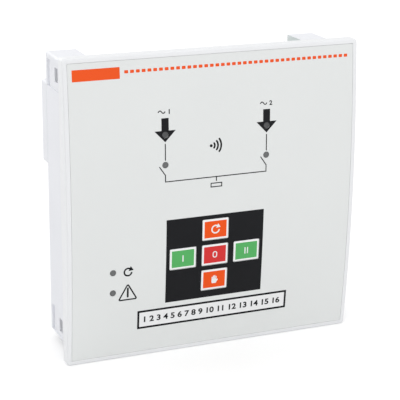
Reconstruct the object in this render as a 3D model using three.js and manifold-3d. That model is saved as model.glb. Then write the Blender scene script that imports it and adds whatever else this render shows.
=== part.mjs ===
// Door-mounted controller of an automatic transfer switch, 144 x 144 mm panel format.
// Millimetres, +Z up, +Y into the panel. The origin is the centre of the panel cut-out, in the plane
// where the back of the front frame seats on the panel. The operator looks along +Y at the front.

import * as THREE from 'three';
import { mergeVertices } from 'three/addons/utils/BufferGeometryUtils.js';
import Module from 'manifold-3d';

const wasm = await Module();
wasm.setup();

// ---- driving dimensions -------------------------------------------------------------------------

// Front frame: a square whose front face is part of a cylinder lying along X.
const FRONT_FLANGE = 3.7;
const FRONT_DEPTH = 9;
const FRONT_RADIUS = 735;
const FRONT_CORNER = 1.6;
const FRONT_WALL = 3;
const ARC_STEPS = 16;

// Printed film let into the frame.
const OVERLAY_BORDER = 2.25;
const OVERLAY_THICKNESS = 0.6;
const OVERLAY_SINK = 0.15;
const OVERLAY_CORNER = 1;
const ADHESIVE = 0.3;

// Running clearances.
const GAP = 0.3;
const KEY_GAP = 0.25;
const BOARD_GAP = 0.7;

// Body behind the panel.
const BODY_SIDE = 136.6;
const BODY_DEPTH = 31.5;
const BODY_WALL = 2.4;
const BODY_CORNER = 1.2;
const LIP_THICKNESS = 2;
const SPIGOT_INSET = 2.5;
const SPIGOT_END_GAP = 0.9;
const SPIGOT_WALL = 1.8;
const CORNER_BLOCK = 14.4;
const RECESS_FRONT = 15;
const BUMP_DEPTH = 7.5;
const BUMP_BOTTOM = 14.5;
const BUMP_WALL = 2;
const COVER_THICKNESS = 2.1;

// Pockets for the panel clips, in the side walls of the corner blocks: a slot for the hook, in a
// shallow pad with a deeper groove along its rear edge.
const CLIP_SLOT_HEIGHT = 6.6;
const CLIP_SLOT_WIDTH = 4.6;
const CLIP_SLOT_Y = 17.1;
const CLIP_SLOT_INSET = 7.7;
const CLIP_SLOT_DROP = 0.65;
const CLIP_PAD_DEPTH = 0.5;
const CLIP_PAD_HEIGHT = 12.6;
const CLIP_PAD_OFFSET = 0.7;
const CLIP_PAD_LEAD = 4.2;
const CLIP_GROOVE_DEPTH = 1.2;
const CLIP_GROOVE_WIDTH = 2.4;

// Panel gasket in the back of the frame.
const GASKET_WIDTH = 1.2;
const GASKET_DEPTH = 1.5;
const GASKET_INSET = 0.35;

// Keys: a cap in a window of the frame, over the sprung button of a key switch.
const KEY_WIDTH = 13;
const KEY_HEIGHT = 10.1;
const KEY_CORNER = 0.6;
const KEY_FLANGE = 1;
const KEY_FLANGE_THICKNESS = 1;
const KEY_STEM_RADIUS = 2;
const KEY_SPACING_X = 3.1;
const KEY_SPACING_Z = 2.5;
const KEY_CENTRE_Z = -25.15;
const SWITCH_SIDE = 6.2;
const SWITCH_HEIGHT = 2.3;
const BUTTON_RADIUS = 1.6;
const BUTTON_BORE = 1.9;
const BUTTON_BORE_DEPTH = 1.6;
const BUTTON_HEIGHT = 0.8;
const BUTTON_LENGTH = 1.6;

// Signal windows: a light guide in front of each lamp.
const GUIDE_RADIUS = 1.4;
const GUIDE_GAP = 0.2;
const GUIDE_FLANGE = 1;
const LED_WIDTH = 3.2;
const LED_HEIGHT = 2.8;
const LED_THICKNESS = 1.7;
const SOURCE_X = 25.1;
const SOURCE_Z = 34.9;
const BREAKER_Z = 20.9;
const STATUS_X = -50.35;
const STATUS_Z = -27.9;
const STATUS_PITCH = 10;

// Boards.
const BOARD_THICKNESS = 1.6;
const FRONT_BOARD_Y = 0.4;
const MAIN_BOARD_Y = 8.9;
const POST_RADIUS = 2.5;
const POST_INSET = 10.2;

// Antenna loop round the near-field mark.
const ANTENNA_WIDTH = 34;
const ANTENNA_HEIGHT = 16;
const ANTENNA_TRACK = 2.4;
const ANTENNA_THICKNESS = 0.35;
const ANTENNA_Z = 27.5;

// Sunk field for a label in the cover.
const LABEL_WIDTH = 62;
const LABEL_HEIGHT = 30;
const LABEL_DEPTH = 0.4;
const LABEL_Z = -20;

// Plug-in terminals.
const HEADER_WALL = 1;
const HEADER_FLOOR = 1.4;
const HEADER_END = 19.5;
const PLUG_HEIGHT = 9.2;
const PLUG_NOSE_HEIGHT = 6;
const PLUG_RECESS = 0.3;
const PLUG_SPACING = 1.8;
const WIRE_HOLE = 2.8;
const WIRE_HOLE_DEPTH = 7;
const CLAMP_HOLE_RADIUS = 1.5;
const CLAMP_HOLE_DEPTH = 1.6;
const CLAMP_FROM_END = 5.4;
const SUPPLY_PITCH = 7.62;
const SUPPLY_POLES = 6;
const SIGNAL_PITCH = 5.08;
const SIGNAL_POLES = 6;

// Cover screws and their bosses.
const SCREW_INSET = 5.3;
const SCREW_Z_TOP = 6.5;
const SCREW_Z_BOTTOM = -46.5;
const SCREW_HEAD_RADIUS = 2.7;
const SCREW_HEAD_HEIGHT = 1.7;
const SCREW_RADIUS = 1.3;
const SCREW_LENGTH = 9;
const BOSS_RADIUS = 3.4;
const BOSS_RIB = 2;

const ROUND = 16;

// ---- values that follow from them ---------------------------------------------------------------

const FRONT_SIDE = BODY_SIDE + 2 * FRONT_FLANGE;
const FRONT_HALF = FRONT_SIDE / 2;
const OVERLAY_HALF = FRONT_HALF - OVERLAY_BORDER;
const BODY_HALF = BODY_SIDE / 2;
const CAVITY_HALF = BODY_HALF - SPIGOT_INSET;
const INNER_HALF = BODY_HALF - BODY_WALL;
const SPIGOT_HALF = CAVITY_HALF - GAP;
const RECESS_HALF_WIDTH = BODY_HALF - CORNER_BLOCK;
const CORE_HALF = BODY_HALF - CORNER_BLOCK;
const COVER_FRONT = BODY_DEPTH - COVER_THICKNESS;
const COVER_HALF_X = INNER_HALF - GAP;
const COVER_HALF_Z = CORE_HALF - BODY_WALL - GAP;
const BODY_FRONT = GAP;
const OVERLAY_RECESS = OVERLAY_SINK + OVERLAY_THICKNESS + ADHESIVE;
const FRONT_BOARD_HALF = SPIGOT_HALF - SPIGOT_WALL - BOARD_GAP;
const FRONT_BOARD_BACK = FRONT_BOARD_Y + BOARD_THICKNESS;
const MAIN_BOARD_BACK = MAIN_BOARD_Y + BOARD_THICKNESS;
const SWITCH_BACK = FRONT_BOARD_Y - GAP;
const SWITCH_FRONT = SWITCH_BACK - SWITCH_HEIGHT;
const BUTTON_FRONT = SWITCH_FRONT - BUTTON_HEIGHT;
const HEADER_FRONT = MAIN_BOARD_BACK + GAP;
const PLUG_Z = CORE_HALF + GAP + PLUG_HEIGHT / 2 + 0.5;
const PLUG_END = BODY_DEPTH - PLUG_RECESS;
const POST_X = CAVITY_HALF - POST_INSET;
const SCREW_X = INNER_HALF - SCREW_INSET;
const CLIP_SLOT_Z = BODY_HALF - CLIP_SLOT_INSET;
const KEY_COLUMN = KEY_WIDTH + KEY_SPACING_X;
const KEY_ROW = KEY_HEIGHT + KEY_SPACING_Z;
const SUPPLY_WIDTH = SUPPLY_POLES * SUPPLY_PITCH + 2 * HEADER_WALL;
const SIGNAL_WIDTH = SIGNAL_POLES * SIGNAL_PITCH + 2 * HEADER_WALL;
const SUPPLY_X = (SUPPLY_WIDTH + PLUG_SPACING) / 2;
const SIGNAL_X = SIGNAL_WIDTH + PLUG_SPACING;
const EXTRA = 1;

// The key positions, and the colour of each cap.
const ORANGE = 0xee5a24;
const GREEN = 0x5eb36b;
const RED = 0xd73e3c;
const KEYS = [
  { name: 'key_auto', x: 0, z: KEY_CENTRE_Z + KEY_ROW, color: ORANGE },
  { name: 'key_source_1', x: -KEY_COLUMN, z: KEY_CENTRE_Z, color: GREEN },
  { name: 'key_off', x: 0, z: KEY_CENTRE_Z, color: RED },
  { name: 'key_source_2', x: KEY_COLUMN, z: KEY_CENTRE_Z, color: GREEN },
  { name: 'key_manual', x: 0, z: KEY_CENTRE_Z - KEY_ROW, color: ORANGE },
];

const WINDOWS = [
  { name: 'source_1', x: -SOURCE_X, z: SOURCE_Z },
  { name: 'source_2', x: SOURCE_X, z: SOURCE_Z },
  { name: 'breaker_1', x: -SOURCE_X, z: BREAKER_Z },
  { name: 'breaker_2', x: SOURCE_X, z: BREAKER_Z },
  { name: 'auto', x: STATUS_X, z: STATUS_Z },
  { name: 'alarm', x: STATUS_X, z: STATUS_Z - STATUS_PITCH },
];

// side is +1 for the recess above the core of the body and -1 for the one below it.
const TERMINALS = [
  { name: 'source_1', x: -SUPPLY_X, side: 1, poles: SUPPLY_POLES, pitch: SUPPLY_PITCH },
  { name: 'source_2', x: SUPPLY_X, side: 1, poles: SUPPLY_POLES, pitch: SUPPLY_PITCH },
  { name: 'inputs', x: -SIGNAL_X, side: -1, poles: SIGNAL_POLES, pitch: SIGNAL_PITCH },
  { name: 'outputs', x: 0, side: -1, poles: SIGNAL_POLES, pitch: SIGNAL_PITCH },
  { name: 'supply', x: SIGNAL_X, side: -1, poles: SIGNAL_POLES, pitch: SIGNAL_PITCH },
];

const SCREWS = [
  { name: 'top_left', x: -SCREW_X, z: SCREW_Z_TOP },
  { name: 'top_right', x: SCREW_X, z: SCREW_Z_TOP },
  { name: 'bottom_left', x: -SCREW_X, z: SCREW_Z_BOTTOM },
  { name: 'bottom_right', x: SCREW_X, z: SCREW_Z_BOTTOM },
];

// ---- solids -------------------------------------------------------------------------------------

// A closed three.js geometry as a manifold solid.
function solid(geometry) {
  const bare = geometry.clone();
  bare.deleteAttribute('normal');
  bare.deleteAttribute('uv');
  const merged = mergeVertices(bare, 1e-4);
  return new wasm.Manifold(new wasm.Mesh({
    numProp: 3,
    vertProperties: new Float32Array(merged.attributes.position.array),
    triVerts: new Uint32Array(merged.index.array),
  }));
}

// A manifold solid as a three.js geometry.
function geometryOf(manifold) {
  const mesh = manifold.getMesh();
  const geometry = new THREE.BufferGeometry();
  geometry.setAttribute('position', new THREE.BufferAttribute(mesh.vertProperties, 3));
  geometry.setIndex(new THREE.BufferAttribute(mesh.triVerts, 1));
  return geometry;
}

// A block between two corners.
function block(x0, x1, y0, y1, z0, z1) {
  const geometry = new THREE.BoxGeometry(x1 - x0, y1 - y0, z1 - z0);
  geometry.translate((x0 + x1) / 2, (y0 + y1) / 2, (z0 + z1) / 2);
  return solid(geometry);
}

// A round bar along Y.
function bar(radius, y0, y1, x = 0, z = 0, sides = ROUND) {
  const geometry = new THREE.CylinderGeometry(radius, radius, y1 - y0, sides);
  geometry.translate(x, (y0 + y1) / 2, z);
  return solid(geometry);
}

// A solid turned round a line along Y from its half profile of [radius, y] points.
function turned(profile, x = 0, z = 0, sides = ROUND) {
  const points = profile.map(([radius, y]) => new THREE.Vector2(radius, y));
  const geometry = new THREE.LatheGeometry(points, sides);
  geometry.translate(x, 0, z);
  return solid(geometry);
}

// The outline of a rectangle with round corners.
function roundedOutline(width, height, radius) {
  const x = width / 2;
  const z = height / 2;
  const shape = new THREE.Shape();
  shape.moveTo(-x + radius, -z);
  shape.lineTo(x - radius, -z);
  shape.absarc(x - radius, -z + radius, radius, -Math.PI / 2, 0);
  shape.lineTo(x, z - radius);
  shape.absarc(x - radius, z - radius, radius, 0, Math.PI / 2);
  shape.lineTo(-x + radius, z);
  shape.absarc(-x + radius, z - radius, radius, Math.PI / 2, Math.PI);
  shape.lineTo(-x, -z + radius);
  shape.absarc(-x + radius, -z + radius, radius, Math.PI, Math.PI * 1.5);
  return shape;
}

// A slab with rounded corners, its outline in the XZ plane, from y0 to y1.
function slab(width, height, radius, y0, y1, x = 0, z = 0) {
  const geometry = new THREE.ExtrudeGeometry(roundedOutline(width, height, radius), {
    depth: y1 - y0,
    bevelEnabled: false,
    curveSegments: 2,
  });
  const xAxis = new THREE.Vector3(1, 0, 0);
  const zAxis = new THREE.Vector3(0, 0, 1);
  const depthAxis = new THREE.Vector3(0, -1, 0);
  geometry.applyMatrix4(new THREE.Matrix4().makeBasis(xAxis, zAxis, depthAxis));
  geometry.translate(x, y1, z);
  return solid(geometry);
}

// Y of the cylinder that lies a given depth behind the front face, at height z.
function frontY(z, depth = 0) {
  const radius = FRONT_RADIUS - depth;
  return FRONT_RADIUS - FRONT_DEPTH - Math.sqrt(radius * radius - z * z);
}

// Everything behind that cylinder, as far back as yBack, over |x| < halfX and |z| < halfZ.
function behindFront(depth, yBack, halfX, halfZ) {
  const shape = new THREE.Shape();
  shape.moveTo(yBack, halfZ);
  shape.lineTo(yBack, -halfZ);
  for (let i = 0; i <= ARC_STEPS; i += 1) {
    const z = -halfZ + (2 * halfZ * i) / ARC_STEPS;
    shape.lineTo(frontY(z, depth), z);
  }
  shape.closePath();
  const geometry = new THREE.ExtrudeGeometry(shape, { depth: 2 * halfX, bevelEnabled: false });
  const yAxis = new THREE.Vector3(0, 1, 0);
  const zAxis = new THREE.Vector3(0, 0, 1);
  const widthAxis = new THREE.Vector3(1, 0, 0);
  geometry.applyMatrix4(new THREE.Matrix4().makeBasis(yAxis, zAxis, widthAxis));
  geometry.translate(-halfX, 0, 0);
  return solid(geometry);
}

// ---- scene graph --------------------------------------------------------------------------------

const group = new THREE.Group();

function add(name, manifold, look, place = [0, 0, 0], parent = group) {
  const mesh = new THREE.Mesh(geometryOf(manifold), new THREE.MeshStandardMaterial(look));
  mesh.name = name;
  mesh.position.set(...place);
  parent.add(mesh);
  return mesh;
}

const WHITE_PLASTIC = { color: 0xeaebed, roughness: 0.5, metalness: 0 };
const GREY_FILM = { color: 0xe1e3e2, roughness: 0.45, metalness: 0 };
const RUBBER = { color: 0x2a2b2d, roughness: 0.9, metalness: 0 };
const CLEAR_PLASTIC = { color: 0x77787a, roughness: 0.25, metalness: 0 };
const BOARD_GREEN = { color: 0x1f5a3a, roughness: 0.5, metalness: 0 };
const BLACK_PLASTIC = { color: 0x1c1d1f, roughness: 0.5, metalness: 0 };
const TERMINAL_GREEN = { color: 0x3c8f4c, roughness: 0.5, metalness: 0 };
const STEEL = { color: 0xb4b6b8, roughness: 0.35, metalness: 1 };
const COPPER = { color: 0xb86a3c, roughness: 0.4, metalness: 1 };
const LED_WHITE = { color: 0xe6e2d2, roughness: 0.4, metalness: 0 };
const RELAY_BLUE = { color: 0x2b5fa0, roughness: 0.45, metalness: 0 };

// ---- front frame, film and gasket ---------------------------------------------------------------

// The openings that the film and the frame share: one window for each key and each light guide.
function frontOpenings() {
  const openings = KEYS.map((key) => slab(
    KEY_WIDTH + 2 * KEY_GAP,
    KEY_HEIGHT + 2 * KEY_GAP,
    KEY_CORNER + KEY_GAP,
    -FRONT_DEPTH - EXTRA,
    GAP,
    key.x,
    key.z,
  ));
  for (const window of WINDOWS) {
    openings.push(bar(GUIDE_RADIUS + GUIDE_GAP, -FRONT_DEPTH - EXTRA, GAP, window.x, window.z));
  }
  return wasm.Manifold.union(openings);
}

function frameSolid() {
  const outline = slab(FRONT_SIDE, FRONT_SIDE, FRONT_CORNER, -FRONT_DEPTH - EXTRA, 0);
  const filmSide = 2 * OVERLAY_HALF + 2 * KEY_GAP;
  const filmRecess = slab(filmSide, filmSide, OVERLAY_CORNER + KEY_GAP, -FRONT_DEPTH - EXTRA, 0)
    .subtract(behindFront(OVERLAY_RECESS, EXTRA, FRONT_HALF, FRONT_HALF));
  const gasketSide = 2 * (BODY_HALF + GASKET_INSET);
  const groove = slab(
    gasketSide + 2 * GASKET_WIDTH,
    gasketSide + 2 * GASKET_WIDTH,
    BODY_CORNER + GASKET_WIDTH,
    -GASKET_DEPTH - GAP,
    EXTRA,
  ).subtract(slab(gasketSide, gasketSide, BODY_CORNER, -GASKET_DEPTH - EXTRA, 2 * EXTRA));
  let frame = behindFront(0, 0, FRONT_HALF, FRONT_HALF)
    .intersect(outline)
    .subtract(filmRecess)
    .subtract(behindFront(FRONT_WALL, EXTRA, CAVITY_HALF, CAVITY_HALF))
    .subtract(groove);
  for (const x of [-POST_X, POST_X]) {
    for (const z of [-POST_X, POST_X]) {
      frame = frame.add(bar(POST_RADIUS, frontY(z, FRONT_WALL) - 0.6, FRONT_BOARD_Y - GAP, x, z));
    }
  }
  return frame.subtract(frontOpenings());
}

function overlaySolid() {
  const side = 2 * OVERLAY_HALF;
  const film = behindFront(OVERLAY_SINK, 0, FRONT_HALF, FRONT_HALF)
    .subtract(behindFront(OVERLAY_SINK + OVERLAY_THICKNESS, EXTRA, FRONT_SIDE, FRONT_HALF));
  return film
    .intersect(slab(side, side, OVERLAY_CORNER, -FRONT_DEPTH - EXTRA, 0))
    .subtract(frontOpenings());
}

function gasketSolid() {
  const inner = 2 * (BODY_HALF + GASKET_INSET) + 0.2;
  const outer = inner + 2 * GASKET_WIDTH - 0.4;
  return slab(outer, outer, BODY_CORNER + GASKET_WIDTH, -GASKET_DEPTH, 0)
    .subtract(slab(inner, inner, BODY_CORNER, -GASKET_DEPTH - EXTRA, EXTRA));
}

add('front_bezel', frameSolid(), WHITE_PLASTIC);
add('front_overlay', overlaySolid(), GREY_FILM);
add('panel_gasket', gasketSolid(), RUBBER);

// ---- keys ---------------------------------------------------------------------------------------

// The cap follows the curved front, and a flange behind the frame keeps it in its window.
function keyCapSolid(z) {
  const reach = Math.abs(z) + KEY_HEIGHT / 2 + KEY_FLANGE;
  const flangeFront = frontY(reach, FRONT_WALL) + GAP;
  const flangeBack = flangeFront + KEY_FLANGE_THICKNESS;
  const capFront = behindFront(OVERLAY_SINK, EXTRA, FRONT_HALF, FRONT_HALF).translate(0, 0, -z);
  const cap = slab(KEY_WIDTH, KEY_HEIGHT, KEY_CORNER, -FRONT_DEPTH - EXTRA, flangeFront + 0.2)
    .intersect(capFront);
  const flange = slab(
    KEY_WIDTH + 2 * KEY_FLANGE,
    KEY_HEIGHT + 2 * KEY_FLANGE,
    KEY_CORNER,
    flangeFront,
    flangeBack,
  );
  return cap.add(flange).add(bar(KEY_STEM_RADIUS, flangeFront, BUTTON_FRONT - GAP));
}

function buttonSolid() {
  return turned([
    [0, BUTTON_FRONT],
    [BUTTON_RADIUS - 0.2, BUTTON_FRONT],
    [BUTTON_RADIUS, BUTTON_FRONT + 0.2],
    [BUTTON_RADIUS, BUTTON_FRONT + BUTTON_LENGTH],
    [0, BUTTON_FRONT + BUTTON_LENGTH],
  ]);
}

function switchSolid() {
  const half = SWITCH_SIDE / 2;
  return block(-half, half, SWITCH_FRONT, SWITCH_BACK, -half, half)
    .subtract(bar(BUTTON_BORE, SWITCH_FRONT - EXTRA, SWITCH_FRONT + BUTTON_BORE_DEPTH));
}

for (const key of KEYS) {
  const place = new THREE.Group();
  place.position.set(key.x, 0, key.z);
  group.add(place);
  const capLook = { color: key.color, roughness: 0.45, metalness: 0 };
  add(`${key.name}_cap`, keyCapSolid(key.z), capLook, [0, 0, 0], place);
  add(`${key.name}_button`, buttonSolid(), BLACK_PLASTIC, [0, 0, 0], place);
  add(`${key.name}_switch`, switchSolid(), STEEL, [0, 0, 0], place);
}

// ---- signal windows -----------------------------------------------------------------------------

function lightGuideSolid(z) {
  const flangeFront = frontY(Math.abs(z) + GUIDE_RADIUS + GUIDE_FLANGE, FRONT_WALL) + GAP;
  const ledFront = FRONT_BOARD_Y - GAP - LED_THICKNESS;
  return turned([
    [0, frontY(z, OVERLAY_SINK)],
    [GUIDE_RADIUS, frontY(z, OVERLAY_SINK)],
    [GUIDE_RADIUS, flangeFront],
    [GUIDE_RADIUS + GUIDE_FLANGE, flangeFront],
    [GUIDE_RADIUS + GUIDE_FLANGE, flangeFront + 1],
    [GUIDE_RADIUS, flangeFront + 1],
    [GUIDE_RADIUS, ledFront - GAP],
    [0, ledFront - GAP],
  ]);
}

function ledSolid() {
  const back = FRONT_BOARD_Y - GAP;
  const x = LED_WIDTH / 2;
  const z = LED_HEIGHT / 2;
  return block(-x, x, back - LED_THICKNESS, back, -z, z);
}

for (const window of WINDOWS) {
  const place = [window.x, 0, window.z];
  add(`light_guide_${window.name}`, lightGuideSolid(window.z), CLEAR_PLASTIC, place);
  add(`led_${window.name}`, ledSolid(), LED_WHITE, place);
}

// ---- boards -------------------------------------------------------------------------------------

function antennaSolid() {
  const back = FRONT_BOARD_Y - GAP;
  const front = back - ANTENNA_THICKNESS;
  const outer = slab(ANTENNA_WIDTH, ANTENNA_HEIGHT, 3, front, back, 0, ANTENNA_Z);
  const inner = slab(
    ANTENNA_WIDTH - 2 * ANTENNA_TRACK,
    ANTENNA_HEIGHT - 2 * ANTENNA_TRACK,
    1.5,
    front - EXTRA,
    back + EXTRA,
    0,
    ANTENNA_Z,
  );
  return outer.subtract(inner);
}

const frontBoard = slab(
  2 * FRONT_BOARD_HALF,
  2 * FRONT_BOARD_HALF,
  2,
  FRONT_BOARD_Y,
  FRONT_BOARD_BACK,
);
const mainBoardSide = 2 * (INNER_HALF - BOARD_GAP);
const mainBoard = slab(mainBoardSide, mainBoardSide, 2, MAIN_BOARD_Y, MAIN_BOARD_BACK);
const boardLink = block(-14, 14, FRONT_BOARD_BACK + GAP, MAIN_BOARD_Y - GAP, -53, -48);

add('nfc_antenna', antennaSolid(), COPPER);
add('front_board', frontBoard, BOARD_GREEN);
add('board_link', boardLink, BLACK_PLASTIC);
add('main_board', mainBoard, BOARD_GREEN);

// ---- parts on the main board --------------------------------------------------------------------

// Tall parts stand under the deeper section of the cover.
const PART_FRONT = MAIN_BOARD_BACK + GAP;
const TALL_PART_Z = (COVER_HALF_Z - BUMP_WALL + BUMP_BOTTOM + BUMP_WALL) / 2;

function transformerSolid() {
  const core = block(-17, 17, PART_FRONT + 3, PART_FRONT + 21, -13, 13);
  const winding = block(-11.5, 11.5, PART_FRONT, PART_FRONT + 24, -15, 15);
  return core.add(winding);
}

function relaySolid() {
  return slab(13, 29, 1, PART_FRONT, PART_FRONT + 16);
}

function capacitorSolid() {
  const top = PART_FRONT + 16;
  return turned([
    [0, PART_FRONT],
    [6.3, PART_FRONT],
    [6.3, PART_FRONT + 1.6],
    [5.9, PART_FRONT + 2.2],
    [6.3, PART_FRONT + 2.8],
    [6.3, top - 0.4],
    [5.9, top],
    [0, top],
  ]);
}

add('transformer', transformerSolid(), BLACK_PLASTIC, [-36, 0, TALL_PART_Z]);
for (const [index, x] of [2, 20, 38].entries()) {
  add(`relay_${index + 1}`, relaySolid(), RELAY_BLUE, [x, 0, TALL_PART_Z]);
}
for (const [index, x] of [-44, -28].entries()) {
  add(`capacitor_${index + 1}`, capacitorSolid(), BLACK_PLASTIC, [x, 0, 0]);
}
add('microcontroller', block(-7, 7, PART_FRONT, PART_FRONT + 1.4, -7, 7), BLACK_PLASTIC, [0, 0, -20]);

// ---- housing ------------------------------------------------------------------------------------

// Size of the shroud of a plug-in terminal.
function headerWidth(terminal) {
  return terminal.poles * terminal.pitch + 2 * HEADER_WALL;
}

const HEADER_HEIGHT = PLUG_NOSE_HEIGHT + 2 * GAP + 2 * HEADER_WALL;

// The box with a core in the middle, four corner blocks, and recesses for the terminals between
// them. The corner blocks are hollow, and each has a slot for a panel clip in its side wall.
function housingSolid() {
  const outer = slab(BODY_SIDE, BODY_SIDE, BODY_CORNER, BODY_FRONT, BODY_DEPTH);
  const lipBack = BODY_FRONT + LIP_THICKNESS;
  const spigotInner = 2 * (SPIGOT_HALF - SPIGOT_WALL);
  const spigotFront = frontY(CAVITY_HALF, FRONT_WALL) + SPIGOT_END_GAP;
  const spigot = slab(2 * SPIGOT_HALF, 2 * SPIGOT_HALF, 1, spigotFront, lipBack);
  const recessWall = RECESS_FRONT - BODY_WALL;
  const coreInner = CORE_HALF - BODY_WALL;
  const cuts = [
    slab(spigotInner, spigotInner, 1, spigotFront - EXTRA, lipBack + EXTRA),
    block(-INNER_HALF, INNER_HALF, lipBack, recessWall, -INNER_HALF, INNER_HALF),
    block(-INNER_HALF, INNER_HALF, lipBack, BODY_DEPTH + EXTRA, -coreInner, coreInner),
  ];
  for (const up of [-1, 1]) {
    const low = Math.min(up * CORE_HALF, up * (BODY_HALF + EXTRA));
    const high = Math.max(up * CORE_HALF, up * (BODY_HALF + EXTRA));
    cuts.push(block(-RECESS_HALF_WIDTH, RECESS_HALF_WIDTH, RECESS_FRONT, BODY_DEPTH + EXTRA, low, high));
    for (const right of [-1, 1]) {
      const blockInner = RECESS_HALF_WIDTH + BODY_WALL;
      const hollowWidth = INNER_HALF - blockInner;
      const hollowX = right * (blockInner + INNER_HALF) / 2;
      const hollowZ = up * (blockInner + INNER_HALF) / 2;
      const slotX = right * BODY_HALF;
      const slotZ = up * CLIP_SLOT_Z - CLIP_SLOT_DROP;
      cuts.push(slab(
        hollowWidth,
        hollowWidth,
        0.5,
        recessWall - EXTRA,
        BODY_DEPTH - BODY_WALL,
        hollowX,
        hollowZ,
      ));
      cuts.push(block(
        slotX - BODY_WALL - 0.2,
        slotX + BODY_WALL + 0.2,
        CLIP_SLOT_Y - CLIP_SLOT_WIDTH / 2,
        CLIP_SLOT_Y + CLIP_SLOT_WIDTH / 2,
        slotZ - CLIP_SLOT_HEIGHT / 2,
        slotZ + CLIP_SLOT_HEIGHT / 2,
      ));
      const padZ = slotZ - up * CLIP_PAD_OFFSET;
      const padLow = padZ - CLIP_PAD_HEIGHT / 2;
      const padHigh = padZ + CLIP_PAD_HEIGHT / 2;
      const pads = [
        [CLIP_PAD_DEPTH, CLIP_SLOT_Y - CLIP_PAD_LEAD],
        [CLIP_GROOVE_DEPTH, COVER_FRONT - CLIP_GROOVE_WIDTH],
      ];
      for (const [depth, front] of pads) {
        cuts.push(block(slotX - depth, slotX + depth, front, COVER_FRONT, padLow, padHigh));
      }
    }
  }
  for (const terminal of TERMINALS) {
    const width = headerWidth(terminal) + 2 * GAP;
    const height = HEADER_HEIGHT + 2 * GAP;
    const z = terminal.side * PLUG_Z;
    cuts.push(slab(width, height, 0.4, recessWall - EXTRA, RECESS_FRONT + EXTRA, terminal.x, z));
  }
  let housing = outer.add(spigot).subtract(wasm.Manifold.union(cuts));
  const bossFront = MAIN_BOARD_BACK + GAP;
  const bossBack = COVER_FRONT - GAP;
  for (const screw of SCREWS) {
    const wallX = Math.sign(screw.x) * (BODY_HALF - BODY_WALL / 2);
    const ribLow = Math.min(screw.x, wallX);
    const ribHigh = Math.max(screw.x, wallX);
    const ribZ = screw.z - BOSS_RIB / 2;
    const rib = block(ribLow, ribHigh, bossFront, bossBack, ribZ, ribZ + BOSS_RIB);
    housing = housing
      .add(bar(BOSS_RADIUS, bossFront, bossBack, screw.x, screw.z))
      .add(rib);
  }
  const holes = SCREWS.map((screw) => bar(
    SCREW_RADIUS + GAP,
    bossBack - SCREW_LENGTH,
    bossBack + EXTRA,
    screw.x,
    screw.z,
    12,
  ));
  return housing.subtract(wasm.Manifold.union(holes));
}

// The back plate sits inside the walls. Its deeper section lies over the ends of the side walls.
function coverSolid() {
  const bumpBack = BODY_DEPTH + BUMP_DEPTH;
  const bumpHeight = CORE_HALF - BUMP_BOTTOM;
  const bumpZ = (CORE_HALF + BUMP_BOTTOM) / 2;
  const plate = slab(2 * COVER_HALF_X, 2 * COVER_HALF_Z, 1, COVER_FRONT, BODY_DEPTH + GAP);
  const bump = slab(BODY_SIDE, bumpHeight, BODY_CORNER, BODY_DEPTH + GAP, bumpBack, 0, bumpZ);
  const hollowTop = COVER_HALF_Z - BUMP_WALL;
  const hollowBottom = BUMP_BOTTOM + BUMP_WALL;
  const hollowX = COVER_HALF_X - BUMP_WALL;
  const hollow = block(-hollowX, hollowX, COVER_FRONT - EXTRA, bumpBack - BUMP_WALL, hollowBottom, hollowTop);
  const lowerBack = block(-BODY_SIDE, BODY_SIDE, BODY_DEPTH, bumpBack, -BODY_SIDE, BUMP_BOTTOM);
  const labelBack = BODY_DEPTH + EXTRA;
  const label = slab(LABEL_WIDTH, LABEL_HEIGHT, 1.5, BODY_DEPTH - LABEL_DEPTH, labelBack, 0, LABEL_Z);
  const cuts = [hollow, lowerBack, label];
  for (const x of [-38, 38]) {
    for (let i = -4; i <= 4; i += 1) {
      cuts.push(block(x + 5 * i - 1, x + 5 * i + 1, 0, bumpBack + EXTRA, bumpZ - 13, bumpZ + 13));
    }
  }
  for (const screw of SCREWS) {
    cuts.push(bar(SCREW_RADIUS + GAP, 0, BODY_DEPTH + EXTRA, screw.x, screw.z, 12));
    cuts.push(bar(
      SCREW_HEAD_RADIUS + GAP,
      BODY_DEPTH - 0.8,
      BODY_DEPTH + EXTRA,
      screw.x,
      screw.z,
    ));
  }
  return plate.add(bump).subtract(wasm.Manifold.union(cuts));
}

// A pan head screw with a cross recess, its head let a little way into the cover.
function screwSolid() {
  const headFront = BODY_DEPTH - 0.8 + GAP;
  const headBack = headFront + SCREW_HEAD_HEIGHT;
  const shank = turned([
    [0, headFront - SCREW_LENGTH],
    [0.4, headFront - SCREW_LENGTH],
    [SCREW_RADIUS, headFront - SCREW_LENGTH + 1.6],
    [SCREW_RADIUS, headFront],
    [SCREW_HEAD_RADIUS, headFront],
    [SCREW_HEAD_RADIUS, headBack - 0.8],
    [SCREW_HEAD_RADIUS - 0.5, headBack - 0.2],
    [SCREW_HEAD_RADIUS - 1.3, headBack],
    [0, headBack],
  ], 0, 0, 16);
  return shank
    .subtract(block(-1.6, 1.6, headBack - 1, headBack + EXTRA, -0.35, 0.35))
    .subtract(block(-0.35, 0.35, headBack - 1, headBack + EXTRA, -1.6, 1.6));
}

add('rear_housing', housingSolid(), WHITE_PLASTIC);
add('rear_cover', coverSolid(), WHITE_PLASTIC);
for (const screw of SCREWS) {
  add(`cover_screw_${screw.name}`, screwSolid(), STEEL, [screw.x, 0, screw.z]);
}

// ---- plug-in terminals --------------------------------------------------------------------------

// The shroud on the main board, open to the back.
function headerSolid(terminal) {
  const width = headerWidth(terminal);
  const x = width / 2;
  const z = HEADER_HEIGHT / 2;
  const wall = HEADER_WALL;
  return block(-x, x, HEADER_FRONT, HEADER_END, -z, z).subtract(
    block(-x + wall, x - wall, HEADER_FRONT + HEADER_FLOOR, HEADER_END + EXTRA, -z + wall, z - wall),
  );
}

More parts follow.
